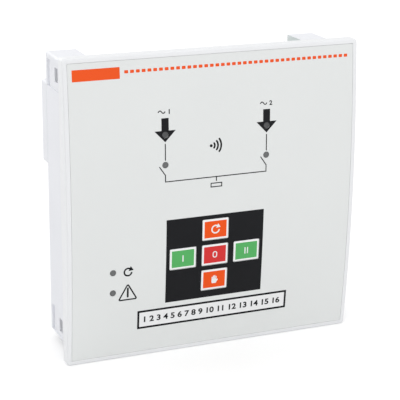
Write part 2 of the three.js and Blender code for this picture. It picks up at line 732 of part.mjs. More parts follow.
// The plug: a nose in the shroud, and a body with a wire hole and a clamp screw for each pole.
// The clamp screws face out of the recess.
function plugSolid(terminal) {
  const width = headerWidth(terminal);
  const noseX = width / 2 - HEADER_WALL - GAP;
  const noseZ = PLUG_NOSE_HEIGHT / 2;
  const bodyFront = HEADER_END + GAP;
  const z = PLUG_HEIGHT / 2;
  const nose = block(-noseX, noseX, HEADER_FRONT + HEADER_FLOOR + GAP, bodyFront + GAP, -noseZ, noseZ);
  const body = block(-width / 2, width / 2, bodyFront, PLUG_END, -z, z);
  const cuts = [];
  for (let i = 0; i < terminal.poles; i += 1) {
    const x = (i - (terminal.poles - 1) / 2) * terminal.pitch;
    const hole = WIRE_HOLE / 2;
    const wireZ = -terminal.side * 0.8;
    const wireFront = PLUG_END - WIRE_HOLE_DEPTH;
    cuts.push(block(x - hole, x + hole, wireFront, PLUG_END + EXTRA, wireZ - hole, wireZ + hole));
    const clamp = bar(CLAMP_HOLE_RADIUS, 0, CLAMP_HOLE_DEPTH + EXTRA, 0, 0, 12)
      .rotate(terminal.side * 90, 0, 0)
      .translate(x, PLUG_END - CLAMP_FROM_END, terminal.side * (z - CLAMP_HOLE_DEPTH));
    cuts.push(clamp);
  }
  return nose.add(body).subtract(wasm.Manifold.union(cuts));
}

for (const terminal of TERMINALS) {
  const place = [terminal.x, 0, terminal.side * PLUG_Z];
  add(`terminal_header_${terminal.name}`, headerSolid(terminal), TERMINAL_GREEN, place);
  add(`terminal_plug_${terminal.name}`, plugSolid(terminal), TERMINAL_GREEN, place);
}

export default group;
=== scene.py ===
"""Door-mounted controller of an automatic transfer switch, in the order it is put together.

Metres, +Z up, +Y into the panel. The origin is the centre of the panel cut-out, in the plane where
the back of the front frame seats on the panel, so the operator's side faces -Y.
"""

import math

import bmesh
import bpy
import numpy as np
from mathutils import Euler, Matrix, Vector


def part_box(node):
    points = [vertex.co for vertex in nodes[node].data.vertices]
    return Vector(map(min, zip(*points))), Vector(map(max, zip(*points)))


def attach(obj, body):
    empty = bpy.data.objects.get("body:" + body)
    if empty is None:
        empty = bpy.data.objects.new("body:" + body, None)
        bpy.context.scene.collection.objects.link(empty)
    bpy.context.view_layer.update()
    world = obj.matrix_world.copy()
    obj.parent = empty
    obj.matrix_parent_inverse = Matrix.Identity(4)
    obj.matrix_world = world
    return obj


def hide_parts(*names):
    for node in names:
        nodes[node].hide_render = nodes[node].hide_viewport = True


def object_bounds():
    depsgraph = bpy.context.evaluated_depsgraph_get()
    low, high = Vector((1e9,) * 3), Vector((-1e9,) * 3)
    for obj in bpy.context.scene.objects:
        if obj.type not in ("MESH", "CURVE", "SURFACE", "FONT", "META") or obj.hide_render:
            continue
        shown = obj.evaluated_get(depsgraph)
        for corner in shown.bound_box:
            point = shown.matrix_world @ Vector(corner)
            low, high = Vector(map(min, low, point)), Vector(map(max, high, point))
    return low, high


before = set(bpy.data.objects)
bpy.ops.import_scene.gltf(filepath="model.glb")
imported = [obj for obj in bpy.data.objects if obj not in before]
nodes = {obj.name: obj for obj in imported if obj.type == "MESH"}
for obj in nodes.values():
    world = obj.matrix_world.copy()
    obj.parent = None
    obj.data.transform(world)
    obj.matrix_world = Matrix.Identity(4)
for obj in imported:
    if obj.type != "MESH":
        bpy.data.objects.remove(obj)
cad_low, cad_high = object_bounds()
MM = 0.001

# ---- Camera --------------------------------------------------------------------------------------
# A long lens, left of the front and a little above it, which leans by less than a degree.
# It looks at a point just left of the middle of the film.

CAMERA_AZIMUTH = math.radians(22.811)
CAMERA_ELEVATION = math.radians(17.772)
CAMERA_ROLL = math.radians(0.755)
CAMERA_DISTANCE = 626.5 * MM
CAMERA_TARGET = Vector((-8.21, -9.11, 2.67)) * MM

camera = bpy.data.objects.new("camera", bpy.data.cameras.new("camera"))
bpy.context.scene.collection.objects.link(camera)
camera.data.lens = 122.75
camera.data.sensor_width = 36
camera.data.clip_start = 0.05
camera.data.clip_end = 50
aim = Euler((math.pi / 2 - CAMERA_ELEVATION, 0, -CAMERA_AZIMUTH)).to_matrix()
camera.matrix_world = (
    Matrix.Translation(CAMERA_TARGET)
    @ (aim @ Matrix.Rotation(CAMERA_ROLL, 3, "Z")).to_4x4()
    @ Matrix.Translation((0, 0, CAMERA_DISTANCE))
)
bpy.context.scene.camera = camera

# ---- Floor and studio light ----------------------------------------------------------------------
# A plain white floor under the controller, clear when seen from below, white all round for the
# camera and for reflections, and large soft lamps above, in front and behind.

FLOOR_HALF = 6.0
FLOOR_COLOUR = (0.86, 0.86, 0.86, 1)
FLOOR_LIFT = 0.22
FLOOR_LIFT_FAR = 0.5
FLOOR_NEAR = 0.35
FLOOR_FAR = 2.2
SKY_LIGHT = 0.62
# name: place, width and height in metres, watts
LAMPS = {
    "lamp_front_left": ((-1.5, -1.7, 1.3), 1.6, 1.6, 15),
    "lamp_front_right": ((1.5, -1.6, 0.9), 1.4, 1.4, 10),
    "lamp_top": ((0.0, 0.1, 1.9), 1.8, 1.8, 10),
    "lamp_back": ((-0.6, 1.9, 0.8), 1.8, 1.4, 12),
}


def add_node(tree, kind, **values):
    """One shader node; values go to its inputs, or to its own settings where it has no such input."""
    node = tree.nodes.new(kind)
    for key, value in values.items():
        name = key.replace("_", " ")
        if name in node.inputs:
            node.inputs[name].default_value = value
        else:
            setattr(node, key, value)
    return node


def calculate(tree, operation, *terms):
    """The result of a math node, whose terms are other nodes' outputs or plain numbers."""
    node = add_node(tree, "ShaderNodeMath", operation=operation)
    for socket, term in zip(node.inputs, terms):
        if isinstance(term, float):
            socket.default_value = term
        else:
            tree.links.new(term, socket)
    return node.outputs[0]


def map_range(tree, value, low, high, to_low, to_high):
    """The value of another node's output, mapped in a straight line from low and high to to_low
    and to_high, and no further."""
    node = add_node(tree, "ShaderNodeMapRange", From_Min=low, From_Max=high)
    node.inputs["To Min"].default_value = to_low
    node.inputs["To Max"].default_value = to_high
    tree.links.new(value, node.inputs["Value"])
    return node.outputs["Result"]


def seen_directly(tree):
    """A mask that is 1 for camera, glossy and transmission rays and 0 for the rest."""
    path = add_node(tree, "ShaderNodeLightPath").outputs
    camera_or_glossy = calculate(tree, "MAXIMUM", path["Is Camera Ray"], path["Is Glossy Ray"])
    return calculate(tree, "MAXIMUM", camera_or_glossy, path["Is Transmission Ray"])


bpy.context.scene.view_settings.view_transform = "Standard"
world = bpy.data.worlds.new("studio")
world.use_nodes = True
bpy.context.scene.world = world
sky = world.node_tree
sky.nodes["Background"].inputs["Color"].default_value = (1, 1, 1, 1)
sky_strength = map_range(sky, seen_directly(sky), 0.0, 1.0, SKY_LIGHT, 1.0)
sky.links.new(sky_strength, sky.nodes["Background"].inputs["Strength"])


def floor_white():
    """White and matt, with a glow for direct rays that grows with distance, so that the far floor
    meets the white sky. Its back is clear."""
    material = bpy.data.materials.new("floor_white")
    material.use_nodes = True
    tree = material.node_tree
    tree.nodes.clear()
    link = tree.links.new
    place = add_node(tree, "ShaderNodeTexCoord")
    reach = add_node(tree, "ShaderNodeVectorMath", operation="LENGTH")
    link(place.outputs["Object"], reach.inputs[0])
    distance = reach.outputs["Value"]
    lift = map_range(tree, distance, FLOOR_NEAR, FLOOR_FAR, FLOOR_LIFT, FLOOR_LIFT_FAR)
    strength = calculate(tree, "MULTIPLY", seen_directly(tree), lift)
    diffuse = add_node(tree, "ShaderNodeBsdfDiffuse", Color=FLOOR_COLOUR)
    glow = add_node(tree, "ShaderNodeEmission", Color=(1, 1, 1, 1))
    lit = add_node(tree, "ShaderNodeAddShader")
    side = add_node(tree, "ShaderNodeNewGeometry")
    clear = add_node(tree, "ShaderNodeBsdfTransparent")
    mix = add_node(tree, "ShaderNodeMixShader")
    out = add_node(tree, "ShaderNodeOutputMaterial")
    link(strength, glow.inputs["Strength"])
    link(diffuse.outputs[0], lit.inputs[0])
    link(glow.outputs[0], lit.inputs[1])
    link(side.outputs["Backfacing"], mix.inputs[0])
    link(lit.outputs[0], mix.inputs[1])
    link(clear.outputs[0], mix.inputs[2])
    link(mix.outputs[0], out.inputs["Surface"])
    return material


floor_mesh = bpy.data.meshes.new("floor")
floor_corners = [
    (FLOOR_HALF * x, FLOOR_HALF * y, cad_low.z) for x, y in ((-1, -1), (1, -1), (1, 1), (-1, 1))
]
floor_mesh.from_pydata(floor_corners, [], [(0, 1, 2, 3)])
floor_mesh.materials.append(floor_white())
floor = bpy.data.objects.new("floor", floor_mesh)
bpy.context.scene.collection.objects.link(floor)

for lamp_name, (lamp_place, lamp_width, lamp_height, lamp_watts) in LAMPS.items():
    lamp_data = bpy.data.lights.new(lamp_name, "AREA")
    lamp_data.shape = "RECTANGLE"
    lamp_data.size = lamp_width
    lamp_data.size_y = lamp_height
    lamp_data.energy = lamp_watts
    lamp = bpy.data.objects.new(lamp_name, lamp_data)
    bpy.context.scene.collection.objects.link(lamp)
    lamp.location = lamp_place
    lamp.rotation_euler = (-Vector(lamp_place)).to_track_quat("-Z", "Y").to_euler()

# ---- Front frame ---------------------------------------------------------------------------------
# The moulded frame of white polycarbonate blend. Its front is part of a large cylinder lying along
# X, its outer edge is softly rounded, and a step inside the border takes the film almost flush.

FRONT_RADIUS = 735 * MM
FRONT_HALF = cad_high.x
FRONT_DEPTH = -cad_low.y
FRAME_CORNER = 1.6 * MM
FRAME_EDGE_ROUND = 0.75 * MM
SEAT_EDGE = 0.4 * MM
STEP_ROUND = 0.12 * MM
FILM_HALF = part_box("front_overlay")[1].x
FILM_CORNER = 0.55 * MM
STEP_GAP = 0.1 * MM
STEP_DEPTH = 1.05 * MM
WALL_DEPTH = 3.0 * MM
WALL_HALF = 67.5 * MM
BODY_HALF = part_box("rear_housing")[1].x
CAVITY_HALF = BODY_HALF - 2.5 * MM
GASKET_IN = BODY_HALF + 0.35 * MM
GASKET_OUT = GASKET_IN + 1.2 * MM
GROOVE_DEPTH = 1.8 * MM
SIDE_STEPS = 72
CORNER_STEPS = 8
FRAME_WHITE = (0.80, 0.81, 0.825, 1)


def front_y(z, depth=0.0):
    """Y of the front cylinder at height z: the circle of the front radius, drawn in by depth."""
    radius = FRONT_RADIUS - depth
    return FRONT_RADIUS - FRONT_DEPTH - np.sqrt(radius**2 - z**2)


def ring_xz(half_x, half_z, corner, side_steps=SIDE_STEPS, corner_steps=CORNER_STEPS):
    """Points round a rectangle with round corners, anticlockwise as the operator sees it.

    Each side is cut into side_steps straight steps and each corner into corner_steps of an arc.
    """
    turn = np.linspace(0, math.pi / 2, corner_steps + 1)
    side = (np.arange(1, side_steps) / side_steps)[:, None]
    arcs = []
    for index, (sx, sz) in enumerate([(1, -1), (1, 1), (-1, 1), (-1, -1)]):
        angle = turn + (index - 1) * math.pi / 2
        x = sx * (half_x - corner) + corner * np.cos(angle)
        z = sz * (half_z - corner) + corner * np.sin(angle)
        arcs.append(np.stack([x, z], axis=1))
    points = []
    for index, arc in enumerate(arcs):
        following = arcs[(index + 1) % 4][0]
        points += [arc, arc[-1] + (following - arc[-1]) * side]
    return np.concatenate(points)


def ring_faces(rings, around, closed):
    """Quads between successive rings of the same number of points; closed joins last to first."""
    pairs = rings if closed else rings - 1
    ring = np.arange(pairs)[:, None]
    step = np.arange(around)[None, :]
    following = (ring + 1) % rings
    next_step = (step + 1) % around
    corners = [
        ring * around + step,
        ring * around + next_step,
        following * around + next_step,
        following * around + step,
    ]
    return np.stack(corners, axis=-1).reshape(-1, 4)


def mesh_object(name, points, faces, material, body, slot, smooth_angle=30):
    """A closed piece from points and faces, shaded smooth up to smooth_angle, riding on a body."""
    mesh = bpy.data.meshes.new(name)
    mesh.from_pydata(np.asarray(points).tolist(), [], [list(face) for face in faces])
    mesh.validate()
    shell = bmesh.new()
    shell.from_mesh(mesh)
    bmesh.ops.recalc_face_normals(shell, faces=shell.faces)
    shell.to_mesh(mesh)
    shell.free()
    return finish_piece(name, mesh, material, body, smooth_angle)


def finish_piece(name, mesh, material, body, smooth_angle=30):
    """Puts a mesh into the scene as a piece: its material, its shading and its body."""
    mesh.name = name
    mesh.materials.clear()
    mesh.materials.append(material)
    piece = bpy.data.objects.new(name, mesh)
    bpy.context.scene.collection.objects.link(piece)
    mesh.shade_smooth()
    mesh.set_sharp_from_angle(angle=math.radians(smooth_angle))
    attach(piece, body)
    return piece


def new_group(name, inputs, outputs):
    """A shader node group with named inputs, as {name: default}, and named outputs, as {name: kind}."""
    group = bpy.data.node_groups.new(name, "ShaderNodeTree")
    for key, value in inputs.items():
        kind = "NodeSocketColor" if isinstance(value, tuple) else "NodeSocketFloat"
        socket = group.interface.new_socket(key, in_out="INPUT", socket_type=kind)
        socket.default_value = value
    for key, kind in outputs.items():
        group.interface.new_socket(key, in_out="OUTPUT", socket_type=kind)
    return group, group.nodes.new("NodeGroupInput"), group.nodes.new("NodeGroupOutput")


def moulding_group():
    """The surface of a moulded or printed plastic part.

    A fine noise gives the texture of the mould as a bump. A slow noise shifts the colour a little,
    as resin does, and a streaked one changes the roughness where hands have been.
    """
    group, start, end = new_group(
        "moulded_surface",
        {
            "Colour": (0.8, 0.8, 0.8, 1),
            "Shift": 0.02,
            "Roughness": 0.5,
            "Handling": 0.06,
            "Grain Size": 2500.0,
            "Grain Depth": 0.15,
        },
        {"Colour": "NodeSocketColor", "Roughness": "NodeSocketFloat", "Normal": "NodeSocketVector"},
    )
    link = group.links.new
    place = add_node(group, "ShaderNodeTexCoord")
    slow = add_node(group, "ShaderNodeTexNoise", Scale=28.0, Detail=3.0)
    link(place.outputs["Object"], slow.inputs["Vector"])
    shift = map_range(group, slow.outputs["Fac"], 0.3, 0.7, -1.0, 1.0)
    amount = calculate(group, "MULTIPLY_ADD", shift, start.outputs["Shift"], 1.0)
    tone = add_node(group, "ShaderNodeHueSaturation")
    link(start.outputs["Colour"], tone.inputs["Color"])
    link(amount, tone.inputs["Value"])
    link(tone.outputs["Color"], end.inputs["Colour"])

    stretch = add_node(group, "ShaderNodeMapping", Scale=(1.0, 1.0, 0.35))
    link(place.outputs["Object"], stretch.inputs["Vector"])
    rub = add_node(group, "ShaderNodeTexNoise", Scale=90.0, Detail=4.0)
    link(stretch.outputs["Vector"], rub.inputs["Vector"])
    rubbed = map_range(group, rub.outputs["Fac"], 0.35, 0.65, -1.0, 1.0)
    handling, roughness = start.outputs["Handling"], start.outputs["Roughness"]
    link(calculate(group, "MULTIPLY_ADD", rubbed, handling, roughness), end.inputs["Roughness"])

    grain = add_node(group, "ShaderNodeTexNoise", Detail=2.0)
    link(place.outputs["Object"], grain.inputs["Vector"])
    link(start.outputs["Grain Size"], grain.inputs["Scale"])
    bump = add_node(group, "ShaderNodeBump", Distance=0.00004)
    link(grain.outputs["Fac"], bump.inputs["Height"])
    link(start.outputs["Grain Depth"], bump.inputs["Strength"])
    link(bump.outputs["Normal"], end.inputs["Normal"])
    return group


moulded_surface = moulding_group()


def plastic(
    name, colour, roughness=0.45, shift=0.012, handling=0.05, size=2500.0, depth=0.15, **shader
):
    """A Principled plastic whose colour, roughness and normal come from the moulded surface.

    shader holds plain values for other inputs of the Principled BSDF.
    """
    material = bpy.data.materials.new(name)
    material.use_nodes = True
    tree = material.node_tree
    principled = tree.nodes["Principled BSDF"]
    for key, value in shader.items():
        principled.inputs[key.replace("_", " ")].default_value = value
    surface = add_node(tree, "ShaderNodeGroup")
    surface.node_tree = moulded_surface
    values = {
        "Colour": colour,
        "Shift": shift,
        "Roughness": roughness,
        "Handling": handling,
        "Grain Size": size,
        "Grain Depth": depth,
    }
    for key, value in values.items():
        surface.inputs[key].default_value = value
    tree.links.new(surface.outputs["Colour"], principled.inputs["Base Color"])
    tree.links.new(surface.outputs["Roughness"], principled.inputs["Roughness"])
    tree.links.new(surface.outputs["Normal"], principled.inputs["Normal"])
    return material


frame_plastic = plastic("white_moulding", FRAME_WHITE, roughness=0.42, depth=0.22)


def frame_section():
    """The frame's closed cross-section as (half side, corner radius, depth, seat).

    depth is measured back from the curved front; where seat is given, it is the plain Y instead.
    """
    step_half = FILM_HALF + STEP_GAP
    section = []
    for angle in np.linspace(0, math.pi / 2, 7):
        half = FRONT_HALF - FRAME_EDGE_ROUND * (1 - math.sin(angle))
        section.append((half, FRAME_CORNER, FRAME_EDGE_ROUND * (1 - math.cos(angle)), None))
    section += [
        (FRONT_HALF, FRAME_CORNER, None, -SEAT_EDGE),
        (FRONT_HALF - SEAT_EDGE / 4, FRAME_CORNER, None, -SEAT_EDGE / 4),
        (FRONT_HALF - SEAT_EDGE, FRAME_CORNER, None, 0.0),
    ]
    inner = [
        (GASKET_OUT, None, 0.0),
        (GASKET_OUT, None, -GROOVE_DEPTH),
        (GASKET_IN, None, -GROOVE_DEPTH),
        (GASKET_IN, None, 0.0),
        (CAVITY_HALF, None, 0.0),
        (CAVITY_HALF, WALL_DEPTH, None),
        (WALL_HALF, WALL_DEPTH, None),
        (WALL_HALF, STEP_DEPTH, None),
        (step_half, STEP_DEPTH, None),
        (step_half, STEP_ROUND, None),
        (step_half + 0.4 * STEP_ROUND, 0.4 * STEP_ROUND, None),
        (step_half + STEP_ROUND, 0.0, None),
    ]
    return section + [(half, FILM_CORNER, depth, seat) for half, depth, seat in inner]


def frame_points():
    """Every point of the frame: the section's rings, each at its own depth behind the front."""
    rings = []
    for half, corner, depth, seat in frame_section():
        xz = ring_xz(half, half, corner)
        y = front_y(xz[:, 1]) + depth if seat is None else np.full(len(xz), seat)
        rings.append(np.stack([xz[:, 0], y, xz[:, 1]], axis=1))
    return np.concatenate(rings), len(rings), len(rings[0])


rim_points, rim_rings, rim_around = frame_points()
front_frame = mesh_object(
    "front_frame",
    rim_points,
    ring_faces(rim_rings, rim_around, closed=True),
    frame_plastic,
    "chassis",
    "white_plastic",
)
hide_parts("front_bezel")

# ---- Film ----------------------------------------------------------------------------------------
# A satin polyester film, printed light grey on its back and glued into the step of the frame. It
# bends with the front. The wall behind it has the same windows, which are a little wider there.

FILM_GREY = (0.745, 0.762, 0.757, 1)
FILM_SINK = 0.15 * MM
FILM_THICKNESS = 0.6 * MM
BEND_STEP = 2.0 * MM
BEND_MARGIN = 0.05
SAME_POINT = 1e-7
KEYS = ["key_auto", "key_source_1", "key_off", "key_source_2", "key_manual"]
WINDOWS = ["source_1", "source_2", "breaker_1", "breaker_2", "auto", "alarm"]
KEY_HALF_X = 6.5 * MM
KEY_HALF_Z = 5.05 * MM
KEY_CORNER = 0.4 * MM
KEY_GAP = 0.18 * MM
GUIDE_RADIUS = 1.4 * MM
GUIDE_GAP = 0.12 * MM
WALL_KEY_GAP = 0.22 * MM
WALL_GUIDE_GAP = 0.18 * MM


def centre_xz(node):
    """Where the middle of a CAD node lies on the front, as (x, z)."""
    low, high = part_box(node)
    return (low.x + high.x) / 2, (low.z + high.z) / 2


def rounded(x, z, half_x, half_z, corner, corner_steps=6):
    """The outline of a rectangle with round corners round the point (x, z)."""
    return ring_xz(half_x, half_z, corner, side_steps=1, corner_steps=corner_steps) + (x, z)


def circle(x, z, radius, count=40):
    """The outline of a circle round the point (x, z)."""
    angle = np.arange(count) * 2 * math.pi / count
    return np.stack([x + radius * np.cos(angle), z + radius * np.sin(angle)], axis=1)


def mesh_points(mesh):
    """The places of a mesh's vertices, one row of x, y and z for each."""
    points = np.empty(len(mesh.vertices) * 3)
    mesh.vertices.foreach_get("co", points)
    return points.reshape(-1, 3)


def move_points(mesh, x, y, z):
    """Puts each vertex of a mesh at its own new x, y and z."""
    mesh.vertices.foreach_set("co", np.stack([x, y, z], axis=1).ravel())
    mesh.update()


def flat_plate(outlines):
    """A plate one unit thick whose outlines lie in its XY plane; inner outlines are holes."""
    curve = bpy.data.curves.new("outline", "CURVE")
    curve.dimensions = "2D"
    curve.fill_mode = "BOTH"
    curve.extrude = 0.5
    for outline in outlines:
        spline = curve.splines.new("POLY")
        spline.points.add(len(outline) - 1)
        rest = np.tile([0.0, 1.0], (len(outline), 1))
        spline.points.foreach_set("co", np.hstack([outline, rest]).ravel())
        spline.use_cyclic_u = True
    holder = bpy.data.objects.new("outline", curve)
    mesh = bpy.data.meshes.new_from_object(holder)
    bpy.data.objects.remove(holder)
    bpy.data.curves.remove(curve)
    return mesh


def bend_plate(mesh, front_depth, back_depth):
    """Bends a flat plate onto the front: X stays, Y becomes Z, and the plate's two faces go to
    front_depth and back_depth behind the front cylinder.

    It is first cut across at every BEND_STEP, but not where its own edge nearly lies on the cut.
    """
    heights = mesh_points(mesh)[:, 1]
    first = math.ceil(heights.min() / BEND_STEP + BEND_MARGIN)
    last = math.floor(heights.max() / BEND_STEP - BEND_MARGIN)
    shell = bmesh.new()
    shell.from_mesh(mesh)
    bmesh.ops.remove_doubles(shell, verts=shell.verts, dist=SAME_POINT)
    for level in range(first, last + 1):
        bmesh.ops.bisect_plane(
            shell,
            geom=shell.verts[:] + shell.edges[:] + shell.faces[:],
            dist=SAME_POINT,
            plane_co=(0, level * BEND_STEP, 0),
            plane_no=(0, 1, 0),
        )
    shell.to_mesh(mesh)
    shell.free()
    x, z, side = mesh_points(mesh).T
    move_points(mesh, x, front_y(z, np.where(side > 0, front_depth, back_depth)), z)
    return mesh


def key_windows(gap):
    """Outlines of the windows for the keys, each wider than its cap by gap all round."""
    half_x, half_z = KEY_HALF_X + gap, KEY_HALF_Z + gap
    return [rounded(*centre_xz(f"{key}_cap"), half_x, half_z, KEY_CORNER + gap) for key in KEYS]


def window_plate(half, key_gap, guide_gap):
    """A flat square plate with the windows for the keys and the light guides cut out of it."""
    outlines = [rounded(0, 0, half, half, FILM_CORNER)] + key_windows(key_gap)
    for window in WINDOWS:
        outlines.append(circle(*centre_xz(f"light_guide_{window}"), GUIDE_RADIUS + guide_gap))
    return flat_plate(outlines)


film_material = plastic(
    "satin_film", FILM_GREY, roughness=0.4, shift=0.006, handling=0.04, size=4200.0, depth=0.08
)
film = finish_piece(
    "film",
    bend_plate(window_plate(FILM_HALF, KEY_GAP, GUIDE_GAP), FILM_SINK, FILM_SINK + FILM_THICKNESS),
    film_material,
    "chassis",
)
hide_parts("front_overlay")

finish_piece(
    "front_wall",
    bend_plate(window_plate(WALL_HALF, WALL_KEY_GAP, WALL_GUIDE_GAP), STEP_DEPTH, WALL_DEPTH),
    frame_plastic,
    "chassis",
)

# ---- Print ---------------------------------------------------------------------------------------
# Inks screen printed on the film, a few hundredths of a millimetre thick: the orange bar and its
# dashes, the mimic diagram in black, the field of the keys, and the strip of plain numbers.

INK = 0.03 * MM
INK_BODY = 1.3 * INK
INK_CORNER = 0.08 * MM
MITRE_LIMIT = 0.3
PRINT_DEPTH = FILM_SINK - INK
SECOND_PRINT = PRINT_DEPTH - INK
STROKE = 0.46 * MM
INK_GLOSS = 0.16
BLACK_INK = (0.0042, 0.0046, 0.0062, 1)
ORANGE_INK = (0.84, 0.094, 0.014, 1)
WHITE_INK = (0.83, 0.835, 0.84, 1)

INK_LOOK = {"roughness": 0.42, "size": 5200.0, "depth": 0.1, "Specular_IOR_Level": INK_GLOSS}

black_ink = plastic("black_ink", BLACK_INK, shift=0.15, **INK_LOOK)
orange_ink = plastic("orange_ink", ORANGE_INK, shift=0.03, **INK_LOOK)
white_ink = plastic("white_ink", WHITE_INK, shift=0.008, **INK_LOOK)


def joined_mesh(name, meshes, merged=False):
    """One mesh of several, which are used up. merged joins doubled points and turns all faces out."""
    joined = bmesh.new()
    for mesh in meshes:
        joined.from_mesh(mesh)
        bpy.data.meshes.remove(mesh)
    if merged:
        bmesh.ops.remove_doubles(joined, verts=joined.verts, dist=SAME_POINT)
        bmesh.ops.recalc_face_normals(joined, faces=joined.faces)
    whole = bpy.data.meshes.new(name)
    joined.to_mesh(whole)
    joined.free()
    return whole


def print_plates(name, plates, ink, depth=PRINT_DEPTH, body="chassis"):
    """One printed piece of flat plates, bent to the front. Each sinks a little into what it is
    printed on."""
    bent = [bend_plate(plate, depth, depth + INK_BODY) for plate in plates]
    return finish_piece(name, joined_mesh(name, bent), ink, body)


def print_on_front(name, shapes, ink, depth=PRINT_DEPTH, body="chassis"):
    """One printed piece of shapes, each of them a list of an outline and its holes."""
    return print_plates(name, [flat_plate(shape) for shape in shapes], ink, depth, body)


def bar(x0, x1, z0, z1, corner=INK_CORNER):
    """A rectangle between two corners, with corners as round as ink leaves them."""
    middle = ((x0 + x1) / 2, (z0 + z1) / 2)
    return [rounded(*middle, (x1 - x0) / 2, (z1 - z0) / 2, corner, corner_steps=3)]


def outlined(x0, x1, z0, z1, width):
    """A rectangle drawn as a line of one width inside two corners: its outline and its hole."""
    return bar(x0, x1, z0, z1) + bar(x0 + width, x1 - width, z0 + width, z1 - width)


def stroke(points, width=STROKE, end_steps=6):
    """A line of one width along points, with round ends and mitred bends.

    At a bend the edges move out by half the width over the cosine of half the turn.
    """
    path = np.asarray(points, float)
    along = np.diff(path, axis=0)
    along /= np.linalg.norm(along, axis=1)[:, None]
    side = np.stack([-along[:, 1], along[:, 0]], axis=1)
    corner = np.vstack([side[:1], side[:-1] + side[1:], side[-1:]])
    corner /= np.linalg.norm(corner, axis=1)[:, None]
    reach = np.ones(len(path))
    reach[1:-1] = 1 / np.maximum(MITRE_LIMIT, np.sum(corner[1:-1] * side[1:], axis=1))
    offset = corner * reach[:, None] * width / 2
    half_turn = np.linspace(0, math.pi, end_steps + 1)[1:-1, None]
    cosine, sine = np.cos(half_turn), np.sin(half_turn)
    cap_end = path[-1] + width / 2 * (side[-1] * cosine + along[-1] * sine)
    cap_start = path[0] - width / 2 * (side[0] * cosine + along[0] * sine)
    return [np.vstack([path + offset, cap_end, (path - offset)[::-1], cap_start])]


def arc_points(x, z, radius, start, stop, count=24):
    """Points on an arc round (x, z) from start to stop, in degrees from +X towards +Z."""
    angle = np.radians(np.linspace(start, stop, count))
    return np.stack([x + radius * np.cos(angle), z + radius * np.sin(angle)], axis=1)


# The orange block and the dashes along the top.
BLOCK_X = (-67.75 * MM, -45.8 * MM)
BLOCK_Z = (61.75 * MM, 66.9 * MM)
BLOCK_CORNER = 0.2 * MM
DASH_COUNT = 41
DASH_FIRST_X = -42.8 * MM
DASH_PITCH = 2.7175 * MM
DASH_Z = 64.6 * MM
DASH_HALF_X = 0.9 * MM
DASH_HALF_Z = 0.7 * MM
DASH_CORNER = 0.3 * MM
dashes = [
    [rounded(DASH_FIRST_X + i * DASH_PITCH, DASH_Z, DASH_HALF_X, DASH_HALF_Z, DASH_CORNER, 3)]
    for i in range(DASH_COUNT)
]
print_on_front("orange_block", [bar(*BLOCK_X, *BLOCK_Z, BLOCK_CORNER)], orange_ink)
print_on_front("orange_dashes", dashes, orange_ink)

# The mimic diagram: two sources above, two breakers, and the load line between them.
SOURCE_X, SOURCE_Z = centre_xz("light_guide_source_2")
ARROW_TOP = 42.5 * MM
ARROW_SHOULDER = 36.75 * MM
ARROW_TIP = 31.5 * MM
ARROW_SHAFT = 1.75 * MM
ARROW_HEAD = 5.1 * MM
STEM_TOP = 30.6 * MM
STEM_BOTTOM = 23.1 * MM
BREAKER_OPEN_X = 2.8 * MM
BREAKER_ARM_Z = 20.1 * MM
BREAKER_FOOT_Z = 16.05 * MM
LOAD_LINE_Z = 13.0 * MM
LOAD_TICK_Z = 10.9 * MM
arrow_side = [
    (ARROW_SHAFT, ARROW_TOP),
    (ARROW_SHAFT, ARROW_SHOULDER),
    (ARROW_HEAD, ARROW_SHOULDER),
]
diagram = []
for side in (-1, 1):
    x = side * SOURCE_X
    arrow = [(x - out, z) for out, z in arrow_side] + [(x, ARROW_TIP)]
    arrow += [(x + out, z) for out, z in reversed(arrow_side)]
    diagram.append([arrow, circle(x, SOURCE_Z, GUIDE_RADIUS + GUIDE_GAP)])
    diagram.append(stroke([(x, STEM_TOP), (x, STEM_BOTTOM)]))
    arm = [(x - BREAKER_OPEN_X, BREAKER_ARM_Z), (x, BREAKER_FOOT_Z), (x, LOAD_LINE_Z + STROKE)]
    diagram.append(stroke(arm))
line_half_x = SOURCE_X + STROKE / 2
line_low, line_high = LOAD_LINE_Z - STROKE / 2, LOAD_LINE_Z + STROKE / 2
diagram.append(bar(-line_half_x, line_half_x, line_low, line_high))
diagram.append(bar(-STROKE / 2, STROKE / 2, LOAD_TICK_Z, line_low))
print_on_front("mimic_diagram", diagram, black_ink)

# Plain marks: a wave and a number over each source, a receiver mark, and an empty box for the load.
LABEL_Z = 45.35 * MM
LABEL_HEIGHT = 2.2 * MM
WAVE_HALF = 1.6 * MM
WAVE_SWING = 0.6 * MM
WAVE_X = -1.55 * MM
DIGIT_X = 2.1 * MM
MARK_STROKE = 0.85 * MM
MARK_X = -2.7 * MM
MARK_Z = 27.8 * MM
MARK_DOT = 0.7 * MM
MARK_PITCH = 1.6 * MM
MARK_FIRST = 0.2 * MM
MARK_OPENING = 36
LOAD_BOX_Z = 9.1 * MM
LOAD_BOX_X = 2.9 * MM
LOAD_BOX_HALF_Z = 1.1 * MM
BOLD = 0.03


def text_plate(text, height, width=None, weight=0.0):
    """A plate of the given characters, centred, with digits of that height, stretched to width.

    weight moves the outlines out by that share of the type size, as a bold face has them.
    """
    curve = bpy.data.curves.new("characters", "FONT")
    curve.body = text
    curve.size = 1.0
    curve.offset = weight
    curve.extrude = 0.5
    curve.resolution_u = 4
    holder = bpy.data.objects.new("characters", curve)
    mesh = bpy.data.meshes.new_from_object(holder)
    bpy.data.objects.remove(holder)
    bpy.data.curves.remove(curve)
    x, z, side = mesh_points(mesh).T
    scale_z = height / np.ptp(z)
    scale_x = scale_z if width is None else width / np.ptp(x)
    middle_x, middle_z = (x.min() + x.max()) / 2, (z.min() + z.max()) / 2
    move_points(mesh, (x - middle_x) * scale_x, (z - middle_z) * scale_z, side)
    return mesh


